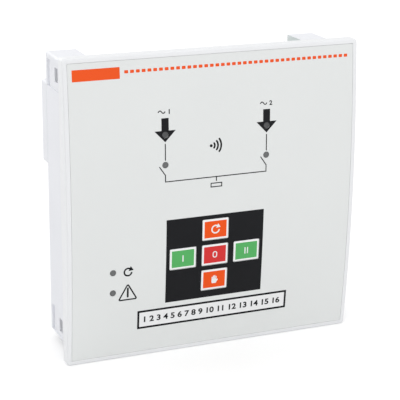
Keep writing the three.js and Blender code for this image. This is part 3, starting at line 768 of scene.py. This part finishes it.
def print_text(name, placed, depth=PRINT_DEPTH):
    """One black printed piece of several text plates, each given as (plate, x, z)."""
    for plate, x, z in placed:
        plate.transform(Matrix.Translation((x, z, 0)))
    return print_plates(name, [plate for plate, x, z in placed], black_ink, depth)


load_low, load_high = LOAD_BOX_Z - LOAD_BOX_HALF_Z, LOAD_BOX_Z + LOAD_BOX_HALF_Z
marks = [
    outlined(-LOAD_BOX_X, LOAD_BOX_X, load_low, load_high, STROKE),
    [circle(MARK_X, MARK_Z, MARK_DOT, 24)],
]
for i in (1, 2, 3):
    arc_radius = MARK_FIRST + i * MARK_PITCH
    arc = arc_points(MARK_X, MARK_Z, arc_radius, -MARK_OPENING, MARK_OPENING)
    marks.append(stroke(arc, MARK_STROKE))
wave = np.linspace(-1, 1, 25)
for side in (-1, 1):
    wave_x = side * SOURCE_X + WAVE_X + WAVE_HALF * wave
    wave_z = LABEL_Z - WAVE_SWING * np.sin(math.pi * wave)
    marks.append(stroke(np.stack([wave_x, wave_z], axis=1)))
print_on_front("diagram_marks", marks, black_ink)
source_digits = [
    (text_plate("1", LABEL_HEIGHT, weight=BOLD), -SOURCE_X + DIGIT_X, LABEL_Z),
    (text_plate("2", LABEL_HEIGHT, weight=BOLD), SOURCE_X + DIGIT_X, LABEL_Z),
]
print_text("source_numbers", source_digits)

# Beside the two status windows: a turning arrow for automatic running, and a triangle with a bar.
TURN_X = -43.1 * MM
TURN_Z = -28.3 * MM
TURN_RADIUS = 1.8 * MM
TURN_STROKE = 0.75 * MM
TRIANGLE_X = -43.1 * MM
TRIANGLE_TOP = -33.7 * MM
TRIANGLE_BOTTOM = -42.4 * MM
TRIANGLE_HALF = 5.0 * MM
TRIANGLE_STROKE = 0.68 * MM
TRIANGLE_CORNER = 0.75 * MM
TRIANGLE_HOLE_CORNER = 0.15 * MM
TRIANGLE_BAR_HALF = 0.45 * MM
TRIANGLE_BAR_CORNER = 0.4 * MM
TRIANGLE_BAR_TOP = -36.0 * MM
TRIANGLE_BAR_BOTTOM = -41.0 * MM


def turning_arrow(x, z, radius, width):
    """An open circle with an arrow head on its upper end: two shapes that meet there."""
    start, stop = 65, 345
    angle = math.radians(start)
    outward = np.array([math.cos(angle), math.sin(angle)])
    forward = np.array([math.sin(angle), -math.cos(angle)])
    root = np.array([x, z]) + radius * outward
    half_base = 1.7 * width * outward
    head = np.array([root + half_base, root - half_base, root + 2.9 * width * forward])
    return [stroke(arc_points(x, z, radius, start, stop, 30), width), [head]]


def rounded_polygon(corners, radius, steps=6):
    """A polygon drawn anticlockwise whose corners are arcs of one radius.

    The centre of an arc lies on its corner's bisector, at the radius over the sine of half the
    corner's angle.
    """
    corners = np.asarray(corners, float)
    points = []
    for index, corner in enumerate(corners):
        back = corners[index - 1] - corner
        ahead = corners[(index + 1) % len(corners)] - corner
        back /= np.linalg.norm(back)
        ahead /= np.linalg.norm(ahead)
        half_angle = math.acos(float(np.clip(back @ ahead, -1, 1))) / 2
        middle = (back + ahead) / np.linalg.norm(back + ahead)
        centre = corner + middle * radius / math.sin(half_angle)
        first = corner + back * radius / math.tan(half_angle) - centre
        across = np.array([-first[1], first[0]])
        angle = np.linspace(0, math.pi - 2 * half_angle, steps + 1)[:, None]
        points.append(centre + first * np.cos(angle) + across * np.sin(angle))
    return np.concatenate(points)


def triangle_ring(x, top, bottom, half, width):
    """An upright triangle drawn as a line of one width with round corners: outline and hole.

    The hole is the outline shrunk about the centre of the inscribed circle, whose radius is half
    the base times the height over half the perimeter.
    """
    height = top - bottom
    inner_radius = half * height / (half + math.hypot(half, height))
    centre = np.array([x, bottom + inner_radius])
    corners = np.array([(x - half, bottom), (x + half, bottom), (x, top)]) - centre
    scale = (inner_radius - width) / inner_radius
    outer = rounded_polygon(corners + centre, TRIANGLE_CORNER)
    return [outer, rounded_polygon(corners * scale + centre, TRIANGLE_HOLE_CORNER)]


bar_x = (TRIANGLE_X - TRIANGLE_BAR_HALF, TRIANGLE_X + TRIANGLE_BAR_HALF)
status_marks = turning_arrow(TURN_X, TURN_Z, TURN_RADIUS, TURN_STROKE) + [
    triangle_ring(TRIANGLE_X, TRIANGLE_TOP, TRIANGLE_BOTTOM, TRIANGLE_HALF, TRIANGLE_STROKE),
    bar(*bar_x, TRIANGLE_BAR_BOTTOM, TRIANGLE_BAR_TOP, TRIANGLE_BAR_CORNER),
]
print_on_front("status_marks", status_marks, black_ink)

# The field of the keys, and under it a white strip in a black line with plain numbers.
FIELD_HALF_X = 24.5 * MM
FIELD_TOP = -5.4 * MM
FIELD_BOTTOM = -46.45 * MM
STRIP_HALF_X = 38.3 * MM
STRIP_X = 0.15 * MM
STRIP_TOP = -48.8 * MM
STRIP_BOTTOM = -58.1 * MM
STRIP_LINE = 1.0 * MM
STRIP_NUMBERS = "1 2 3 4 5 6 7 8 9 10 11 12 13 14 15 16"
STRIP_TEXT_HEIGHT = 3.1 * MM
STRIP_TEXT_WIDTH = 70 * MM
field = bar(-FIELD_HALF_X, FIELD_HALF_X, FIELD_BOTTOM, FIELD_TOP)
print_on_front("key_field", [field + key_windows(KEY_GAP)], black_ink)
strip_left, strip_right = STRIP_X - STRIP_HALF_X, STRIP_X + STRIP_HALF_X
strip = outlined(strip_left, strip_right, STRIP_BOTTOM, STRIP_TOP, STRIP_LINE)
print_on_front("strip_line", [strip], black_ink)
print_on_front("strip_white", [strip[1:]], white_ink)
strip_text = text_plate(STRIP_NUMBERS, STRIP_TEXT_HEIGHT, STRIP_TEXT_WIDTH, weight=BOLD)
print_text("strip_numbers", [(strip_text, STRIP_X, (STRIP_TOP + STRIP_BOTTOM) / 2)], SECOND_PRINT)

# ---- Keys ----------------------------------------------------------------------------------------
# Moulded caps with a flange behind the front wall, printed with a coloured field in a white edge.
# Their faces follow the curved front, and a stem behind each presses the button of its switch.

KEY_EDGE = 0.22 * MM
KEY_BORDER = 0.95 * MM
KEY_FIELD_CORNER = 0.15 * MM
KEY_FLANGE = 1.0 * MM
FLANGE_GAP = 0.3 * MM
FLANGE_THICKNESS = 1.0 * MM
KEY_STEM = 2.0 * MM
KEY_MARK_WIDTH = 0.54 * MM
KEY_MARK_HALF_Z = 1.6 * MM
KEY_MARK_ASIDE = 0.65 * MM
KEY_ARROW_RADIUS = 1.85 * MM
KEY_ARROW_WIDTH = 0.66 * MM
KEY_RING_HALF_X = 1.15 * MM
KEY_RING_CORNER = 1.1 * MM
KEY_RING_WIDTH = 0.48 * MM
KEY_HAND_UNIT = 0.95 * MM
KEY_WHITE = (0.88, 0.885, 0.89, 1)
key_plastic = plastic("key_white", KEY_WHITE, 0.38, shift=0.006, size=4200.0, depth=0.08)
key_inks = {
    "orange_key": plastic("key_orange", (0.845, 0.088, 0.008, 1), shift=0.02, **INK_LOOK),
    "green_key": plastic("key_green", (0.095, 0.425, 0.125, 1), shift=0.02, **INK_LOOK),
    "red_key": plastic("key_red", (0.66, 0.035, 0.036, 1), shift=0.02, **INK_LOOK),
}


def capped_faces(rings, around):
    """Quads between rings of points, and one flat face over the first ring and over the last."""
    faces = ring_faces(rings, around, closed=False).tolist()
    faces.append(list(reversed(range(around))))
    faces.append(list(range((rings - 1) * around, rings * around)))
    return faces


def ring_stack(x, z, rings):
    """Points and faces of a closed piece round (x, z), from rings of (half_x, half_z, corner, y,
    depth) in order. A ring lies flat at y or, where y is None, at depth behind the front cylinder."""
    points = []
    for half_x, half_z, corner, y, depth in rings:
        xz = ring_xz(half_x, half_z, corner, side_steps=6, corner_steps=6) + (x, z)
        ring_y = front_y(xz[:, 1], depth) if y is None else np.full(len(xz), y)
        points.append(np.stack([xz[:, 0], ring_y, xz[:, 1]], axis=1))
    return np.concatenate(points), capped_faces(len(points), len(points[0]))


def flange_y(z):
    """Y of the front of a flange behind the front wall: clear of the wall at height z."""
    return float(front_y(z, WALL_DEPTH)) + FLANGE_GAP


def key_cap_rings(key):
    """Rings of a cap from the end of its stem to the middle of its face."""
    flange_x, flange_z = KEY_HALF_X + KEY_FLANGE, KEY_HALF_Z + KEY_FLANGE
    front = flange_y(abs(centre_xz(f"{key}_cap")[1]) + flange_z)
    back = front + FLANGE_THICKNESS
    stem_end = max(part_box(f"{key}_cap")[1].y, back + 0.05 * MM)
    stem_round = 0.98 * KEY_STEM
    rings = [
        (0.9 * KEY_STEM, 0.9 * KEY_STEM, 0.88 * KEY_STEM, stem_end, None),
        (KEY_STEM, KEY_STEM, stem_round, stem_end - 0.02 * MM, None),
        (KEY_STEM, KEY_STEM, stem_round, back, None),
        (flange_x, flange_z, KEY_CORNER, back, None),
        (flange_x, flange_z, KEY_CORNER, front, None),
        (KEY_HALF_X, KEY_HALF_Z, KEY_CORNER, front, None),
    ]
    for angle in np.linspace(0, math.pi / 2, 5):
        inset = KEY_EDGE * (1 - math.cos(angle))
        depth = FILM_SINK + KEY_EDGE * (1 - math.sin(angle))
        rings.append((KEY_HALF_X - inset, KEY_HALF_Z - inset, KEY_CORNER - inset, None, depth))
    for share in (0.75, 0.5, 0.25, 0.05):
        corner = KEY_CORNER * share * 0.6
        rings.append((KEY_HALF_X * share, KEY_HALF_Z * share, corner, None, FILM_SINK))
    return rings


def hand_outline(x, z, scale):
    """A plain open hand: a palm with a thumb to the right and four straight fingers."""
    finger_tops = (1.35, 1.95, 2.1, 1.6)
    outline = [(-1.1, -2.1), (1.0, -2.1), (1.35, -1.3), (2.1, -0.3), (1.75, 0.1), (1.3, -0.25)]
    for index, top in enumerate(reversed(finger_tops)):
        right = 1.3 - 0.7 * index
        outline += [(right, 0.35), (right, top), (right - 0.52, top), (right - 0.52, 0.35)]
    outline.append((-1.4, -1.4))
    return [np.array(outline) * scale + (x, z)]


def key_mark(key, x, z):
    """The white mark of a key, as shapes: a turning arrow, one bar, a ring, two bars or a hand."""
    half, tall = KEY_MARK_WIDTH / 2, KEY_MARK_HALF_Z
    if key == "key_auto":
        return turning_arrow(x, z, KEY_ARROW_RADIUS, KEY_ARROW_WIDTH)
    if key == "key_off":
        line = KEY_RING_WIDTH
        outer = rounded(x, z, KEY_RING_HALF_X, tall, KEY_RING_CORNER, 8)
        inner = rounded(x, z, KEY_RING_HALF_X - line, tall - line, KEY_RING_CORNER - line, 8)
        return [[outer, inner]]
    if key == "key_manual":
        return [hand_outline(x, z, KEY_HAND_UNIT)]
    aside = {"key_source_1": (0,), "key_source_2": (-KEY_MARK_ASIDE, KEY_MARK_ASIDE)}[key]
    return [bar(x + at - half, x + at + half, z - tall, z + tall) for at in aside]


key_slots = {
    "key_auto": "orange_key",
    "key_source_1": "green_key",
    "key_off": "red_key",
    "key_source_2": "green_key",
    "key_manual": "orange_key",
}
for key in KEYS:
    key_x, key_z = centre_xz(f"{key}_cap")
    cap_shape = ring_stack(key_x, key_z, key_cap_rings(key))
    cap = mesh_object(f"{key}_face", *cap_shape, key_plastic, key, key_slots[key])
    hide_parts(f"{key}_cap")
    colour_half_x, colour_half_z = KEY_HALF_X - KEY_BORDER, KEY_HALF_Z - KEY_BORDER
    colour_field = [rounded(key_x, key_z, colour_half_x, colour_half_z, KEY_FIELD_CORNER, 3)]
    ink = key_inks[key_slots[key]]
    print_on_front(f"{key}_colour", [colour_field], ink, body=key)
    mark = key_mark(key, key_x, key_z)
    print_on_front(f"{key}_mark", mark, white_ink, SECOND_PRINT, key)

# The key switches behind the caps: a steel clad body and a black sprung button.
switch_black = plastic("switch_black", (0.012, 0.012, 0.013, 1), 0.4)


def steel(name, colour=(0.46, 0.47, 0.48, 1), roughness=0.32):
    """Zinc plated steel: metal whose roughness is streaked by the moulded surface's handling."""
    return plastic(name, colour, roughness, 0.05, handling=0.1, size=900.0, depth=0.2, Metallic=1.0)


def paint_node(node, material):
    """Gives a CAD node its material in every slot."""
    mesh = nodes[node].data
    mesh.materials.clear()
    mesh.materials.append(material)


plated_steel = steel("plated_steel")
for key in KEYS:
    paint_node(f"{key}_button", switch_black)
    paint_node(f"{key}_switch", plated_steel)

# ---- Light guides --------------------------------------------------------------------------------
# Round rods of smoked clear plastic, flush with the film, each in front of a lamp on the front
# board. The two in the black arrows look darker than the rest.

GUIDE_FLANGE = 1.0 * MM
GUIDE_AROUND = 40
# The lens of a rod in millimetres: how far in from its side, and how far behind the film.
LENS = ((0.9, 0.12), (0.45, 0.08), (0.15, 0.02), (0.05, 0.04), (0, 0.12))
GUIDE_GREY = (0.12, 0.124, 0.125, 1)
GUIDE_DARK = (0.048, 0.05, 0.053, 1)
LENS_LOOK = {
    "roughness": 0.3,
    "size": 3000.0,
    "depth": 0.05,
    "Coat_Weight": 0.15,
    "Coat_Roughness": 0.2,
}
guide_grey = plastic("guide_grey", GUIDE_GREY, shift=0.1, **LENS_LOOK)
guide_dark = plastic("guide_dark", GUIDE_DARK, shift=0.1, **LENS_LOOK)
lamp_plastic = plastic("lamp_body", (0.78, 0.75, 0.64, 1), 0.35)


def turned_piece(profile, x, z, around):
    """Points and faces of a piece turned round a line along Y at (x, z), from its half profile of
    (radius, y) points. It is closed by a flat end on its first and last ring."""
    angle = np.arange(around) * 2 * math.pi / around
    rings = []
    for radius, y in profile:
        ring = [x + radius * np.cos(angle), np.full(around, y), z + radius * np.sin(angle)]
        rings.append(np.stack(ring, axis=1))
    return np.concatenate(rings), capped_faces(len(rings), around)


for window in WINDOWS:
    node = f"light_guide_{window}"
    guide_x, guide_z = centre_xz(node)
    guide_front = float(front_y(guide_z, FILM_SINK))
    flange_radius = GUIDE_RADIUS + GUIDE_FLANGE
    flange_front = flange_y(abs(guide_z) + flange_radius)
    flange_back = flange_front + FLANGE_THICKNESS
    rod = [(GUIDE_RADIUS - inset * MM, guide_front + sink * MM) for inset, sink in LENS]
    rod += [
        (GUIDE_RADIUS, flange_front),
        (flange_radius, flange_front),
        (flange_radius, flange_back),
        (GUIDE_RADIUS, flange_back),
        (GUIDE_RADIUS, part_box(node)[1].y),
    ]
    guide = mesh_object(
        f"guide_{window}",
        *turned_piece(rod, guide_x, guide_z, GUIDE_AROUND),
        guide_dark if window.startswith("source") else guide_grey,
        "chassis",
        "light_guide",
    )
    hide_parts(node)
    paint_node(f"led_{window}", lamp_plastic)

# ---- Boards --------------------------------------------------------------------------------------
# Glass epoxy boards with green solder mask, a copper antenna loop behind the receiver mark, and the
# parts that stand on the main board.

board_mask = plastic("solder_mask", (0.014, 0.10, 0.042, 1), 0.3, shift=0.12, size=1500.0, depth=0.3)
copper = plastic("copper_track", (0.62, 0.24, 0.10, 1), 0.3, Metallic=1.0)
black_part = plastic("black_part", (0.014, 0.014, 0.016, 1), 0.42)
iron_part = plastic("lacquered_iron", (0.03, 0.03, 0.033, 1), 0.4, Metallic=0.6)
relay_blue = plastic("relay_blue", (0.024, 0.11, 0.35, 1), 0.3)
board_looks = (
    (board_mask, ("front_board", "main_board")),
    (copper, ("nfc_antenna",)),
    (black_part, ("board_link", "microcontroller", "capacitor_1", "capacitor_2")),
    (iron_part, ("transformer",)),
    (relay_blue, ("relay_1", "relay_2", "relay_3")),
)
for look, part_names in board_looks:
    for part_name in part_names:
        paint_node(part_name, look)

# ---- Housing, cover and gasket -------------------------------------------------------------------
# The housing and its cover are moulded in the same white plastic as the frame, with soft edges.
# The cover is held by four plated screws, and a rubber ring seals the frame to the panel.

BODY_WHITE = (0.79, 0.80, 0.835, 1)
CAD_POINT = 2e-6
MOULD_EDGE = 0.3 * MM
SCREW_EDGE = 0.08 * MM
body_plastic = plastic("white_body", BODY_WHITE, roughness=0.48, depth=0.3)
gasket_rubber = plastic("gasket_rubber", (0.022, 0.022, 0.024, 1), 0.7, size=1500.0, depth=0.4)


def softened(name, node, width, material, body, segments=2, angle=40):
    """A merged copy of a CAD node's mesh, whose edges sharper than angle are rounded to width."""
    shell = bmesh.new()
    shell.from_mesh(nodes[node].data)
    bmesh.ops.remove_doubles(shell, verts=shell.verts, dist=CAD_POINT)
    bmesh.ops.dissolve_limit(
        shell,
        angle_limit=math.radians(1),
        use_dissolve_boundaries=False,
        verts=shell.verts,
        edges=shell.edges,
    )
    sharp = [
        edge
        for edge in shell.edges
        if len(edge.link_faces) == 2 and edge.calc_face_angle() > math.radians(angle)
    ]
    bmesh.ops.bevel(
        shell,
        geom=sharp,
        offset=width,
        offset_type="OFFSET",
        segments=segments,
        profile=0.5,
        affect="EDGES",
        clamp_overlap=True,
    )
    mesh = bpy.data.meshes.new(name)
    shell.to_mesh(mesh)
    shell.free()
    piece = finish_piece(name, mesh, material, body, smooth_angle=50)
    even = piece.modifiers.new("even_faces", "WEIGHTED_NORMAL")
    even.keep_sharp = True
    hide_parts(node)
    return piece


softened("housing", "rear_housing", MOULD_EDGE, body_plastic, "chassis")
softened("cover", "rear_cover", MOULD_EDGE, body_plastic, "chassis")
paint_node("panel_gasket", gasket_rubber)
for corner in ("top_left", "top_right", "bottom_left", "bottom_right"):
    screw, screw_node = f"screw_{corner}", f"cover_screw_{corner}"
    softened(screw, screw_node, SCREW_EDGE, plated_steel, "chassis", 1, 50)

# ---- Plug-in terminals ---------------------------------------------------------------------------
# Green headers on the main board and green plugs in them. Each pole has a clamp screw under its
# round hole and a steel cage behind its wire hole.

TERMINALS = ["source_1", "source_2", "inputs", "outputs", "supply"]
TERMINAL_GREEN = (0.04, 0.29, 0.09, 1)
terminal_plastic = plastic("terminal_green", TERMINAL_GREEN, roughness=0.42, shift=0.03)
HEADER_EDGE = 0.12 * MM
PLUG_EDGE = 0.16 * MM
PLUG_END_WALLS = 2.0 * MM
CAGE_OUTSIDE = 1.32 * MM
CAGE_OUTSIDE_CORNER = 0.25 * MM
CAGE_INSIDE = 0.95 * MM
CAGE_INSIDE_CORNER = 0.15 * MM
CAGE_PLATE = 0.24 * MM
CAGE_PLATE_GAP = 0.01 * MM
CAGE_FRONT = 6.7 * MM
CAGE_BACK = 2.6 * MM
WIRE_ASIDE = 0.8 * MM
CLAMP_FROM_END = 5.4 * MM
CLAMP_RADIUS = 1.36 * MM
CLAMP_DEPTH = 1.58 * MM
CLAMP_SINK = 0.45 * MM
CLAMP_SLOT = 0.24 * MM
CLAMP_SLOT_DEPTH = 0.55 * MM
CLAMP_CHAMFER = 0.12 * MM
CLAMP_CHAMFER_SHARE = 0.91
CLAMP_OVERLAP = 0.02 * MM
CLAMP_TURN = 37
NUMBER_HEIGHT = 1.35 * MM
NUMBER_WEIGHT = 0.02
NUMBER_ASIDE = 2.65 * MM
POLES = 6
clamp_steel = steel("clamp_steel", (0.52, 0.53, 0.54, 1), 0.28)
cage_steel = steel("cage_steel", (0.40, 0.41, 0.42, 1), 0.36)


def stand_plate(mesh, front, back, mirrored=False):
    """Turns a flat plate upright: its Y becomes Z and its two faces go to the Ys front and back.

    mirrored turns it about, so that what is written on it reads from behind.
    """
    x, z, side = mesh_points(mesh).T
    move_points(mesh, -x if mirrored else x, np.where(side > 0, back, front), z)
    return mesh


def rear_number(number, height, weight, x, z, face):
    """A number printed on a rear face, centred on (x, z), which reads from behind."""
    flat = text_plate(str(number), height, weight=weight)
    plate = stand_plate(flat, face - INK / 2, face + INK, mirrored=True)
    plate.transform(Matrix.Translation((x, 0, z)))
    return plate


def joined_piece(name, meshes, material, body):
    """One piece of several meshes, with doubled points merged and all faces turned outward."""
    return finish_piece(name, joined_mesh(name, meshes, merged=True), material, body)


def prism(outline, levels):
    """A closed prism over an outline in (x, y): its rings lie at each (z, share), where share
    scales the outline about its middle, which draws in a chamfer."""
    outline = np.asarray(outline, float)
    middle = outline.mean(axis=0)
    rings = [
        np.column_stack([middle + (outline - middle) * share, np.full(len(outline), z)])
        for z, share in levels
    ]
    mesh = bpy.data.meshes.new("prism")
    faces = capped_faces(len(rings), len(outline))
    mesh.from_pydata(np.concatenate(rings).tolist(), [], faces)
    return mesh


def slotted_head(x, y, z_face, side, turn):
    """A slotted screw head that faces up or down: a disc and, on it, two halves beside the slot."""
    top = z_face - side * CLAMP_SINK
    floor_level = top - side * CLAMP_SLOT_DEPTH
    root = z_face - side * CLAMP_DEPTH
    parts = [prism(circle(x, y, CLAMP_RADIUS, 28), [(root, 1), (floor_level, 1)])]
    start = math.degrees(math.asin(CLAMP_SLOT / CLAMP_RADIUS))
    for half in (turn, turn + 180):
        arc = arc_points(x, y, CLAMP_RADIUS, half + start, half + 180 - start, 16)
        foot = floor_level - side * CLAMP_OVERLAP
        shoulder = top - side * CLAMP_CHAMFER
        parts.append(prism(arc, [(foot, 1), (shoulder, 1), (top, CLAMP_CHAMFER_SHARE)]))
    return parts


def cage_plates(x, z, plug_end):
    """A clamp cage behind the wire hole at (x, z): a square tube and the plate that ends it."""
    outside = rounded(x, z, CAGE_OUTSIDE, CAGE_OUTSIDE, CAGE_OUTSIDE_CORNER, 3)
    inside = rounded(x, z, CAGE_INSIDE, CAGE_INSIDE, CAGE_INSIDE_CORNER, 3)
    front, back = plug_end - CAGE_FRONT, plug_end - CAGE_BACK
    plate_back = front - CAGE_PLATE_GAP
    return [
        stand_plate(flat_plate([outside, inside]), front, back),
        stand_plate(flat_plate([outside]), plate_back - CAGE_PLATE, plate_back),
    ]


for number, terminal in enumerate(TERMINALS):
    header, header_node = f"header_{terminal}", f"terminal_header_{terminal}"
    plug, plug_node = f"plug_{terminal}", f"terminal_plug_{terminal}"
    softened(header, header_node, HEADER_EDGE, terminal_plastic, "chassis")
    softened(f"{plug}_body", plug_node, PLUG_EDGE, terminal_plastic, plug)
    plug_low, plug_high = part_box(plug_node)
    plug_side = 1 if plug_high.z > 0 else -1
    plug_x, plug_z = centre_xz(plug_node)
    plug_face = plug_high.z if plug_side > 0 else plug_low.z
    pitch = (plug_high.x - plug_low.x - PLUG_END_WALLS) / POLES
    heads, cages, digits = [], [], []
    for pole in range(POLES):
        x = plug_x + (pole - (POLES - 1) / 2) * pitch
        turn = CLAMP_TURN * (pole + 2 * number) % 180
        heads += slotted_head(x, plug_high.y - CLAMP_FROM_END, plug_face, plug_side, turn)
        cages += cage_plates(x, plug_z - plug_side * WIRE_ASIDE, plug_high.y)
        count = (number + 1) * POLES - pole
        number_z = plug_z + plug_side * NUMBER_ASIDE
        digits.append(rear_number(count, NUMBER_HEIGHT, NUMBER_WEIGHT, x, number_z, plug_high.y))
    joined_piece(f"{plug}_screws", heads, clamp_steel, plug)
    joined_piece(f"{plug}_cages", cages, cage_steel, plug)
    joined_piece(f"{plug}_numbers", digits, white_ink, plug)

# ---- Rear label ----------------------------------------------------------------------------------
# A satin grey polyester label in the sunk field of the cover, with no words on it: a plain plan of
# the terminals, which shows their numbers in two rows as they lie above and below it.

LABEL_GREY = (0.60, 0.61, 0.62, 1)
LABEL_Z_MIDDLE = -20 * MM
LABEL_HALF_X = 30.6 * MM
LABEL_HALF_Z = 14.6 * MM
LABEL_CORNER = 1.2 * MM
# From the front of the cover to the floor of the label's field.
LABEL_FLOOR = 1.7 * MM
LABEL_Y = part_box("rear_cover")[0].y + LABEL_FLOOR
LABEL_THICKNESS = 0.15 * MM
PLAN_HALF_X = 27.5 * MM
PLAN_HALF_Z = 5.4 * MM
PLAN_ROW_Z = 9.5 * MM
PLAN_CELL_Z = 1.6 * MM
PLAN_CELL_SHARE = 0.42
PLAN_LINE = 0.22 * MM
PLAN_DIGITS = 1.3 * MM
PLAN_WEIGHT = 0.01
label_film = plastic(
    "label_film", LABEL_GREY, roughness=0.34, shift=0.01, size=3000.0, depth=0.1, Metallic=0.35
)
label_face = LABEL_Y + LABEL_THICKNESS
label_shape = rounded(0, LABEL_Z_MIDDLE, LABEL_HALF_X, LABEL_HALF_Z, LABEL_CORNER)
label = stand_plate(flat_plate([label_shape]), LABEL_Y, label_face)
joined_piece("rear_label", [label], label_film, "chassis")
plan = [outlined(-PLAN_HALF_X, PLAN_HALF_X, -PLAN_HALF_Z, PLAN_HALF_Z, PLAN_LINE)]
plan_digits = []
for row, cells, first in ((1, 2 * POLES, 1), (-1, 3 * POLES, 2 * POLES + 1)):
    cell_pitch = 2 * PLAN_HALF_X / cells
    half = PLAN_CELL_SHARE * cell_pitch
    z = row * PLAN_ROW_Z
    for cell in range(cells):
        x = (cell - (cells - 1) / 2) * cell_pitch
        plan.append(outlined(x - half, x + half, z - PLAN_CELL_Z, z + PLAN_CELL_Z, PLAN_LINE))
        digit = (first + cell, PLAN_DIGITS, PLAN_WEIGHT, -x, LABEL_Z_MIDDLE + z, label_face)
        plan_digits.append(rear_number(*digit))
plan_plates = []
for shape in plan:
    plate = flat_plate([outline + (0, LABEL_Z_MIDDLE) for outline in shape])
    plan_plates.append(stand_plate(plate, label_face - INK / 2, label_face + INK))
joined_piece("label_plan", plan_plates + plan_digits, black_ink, "chassis")
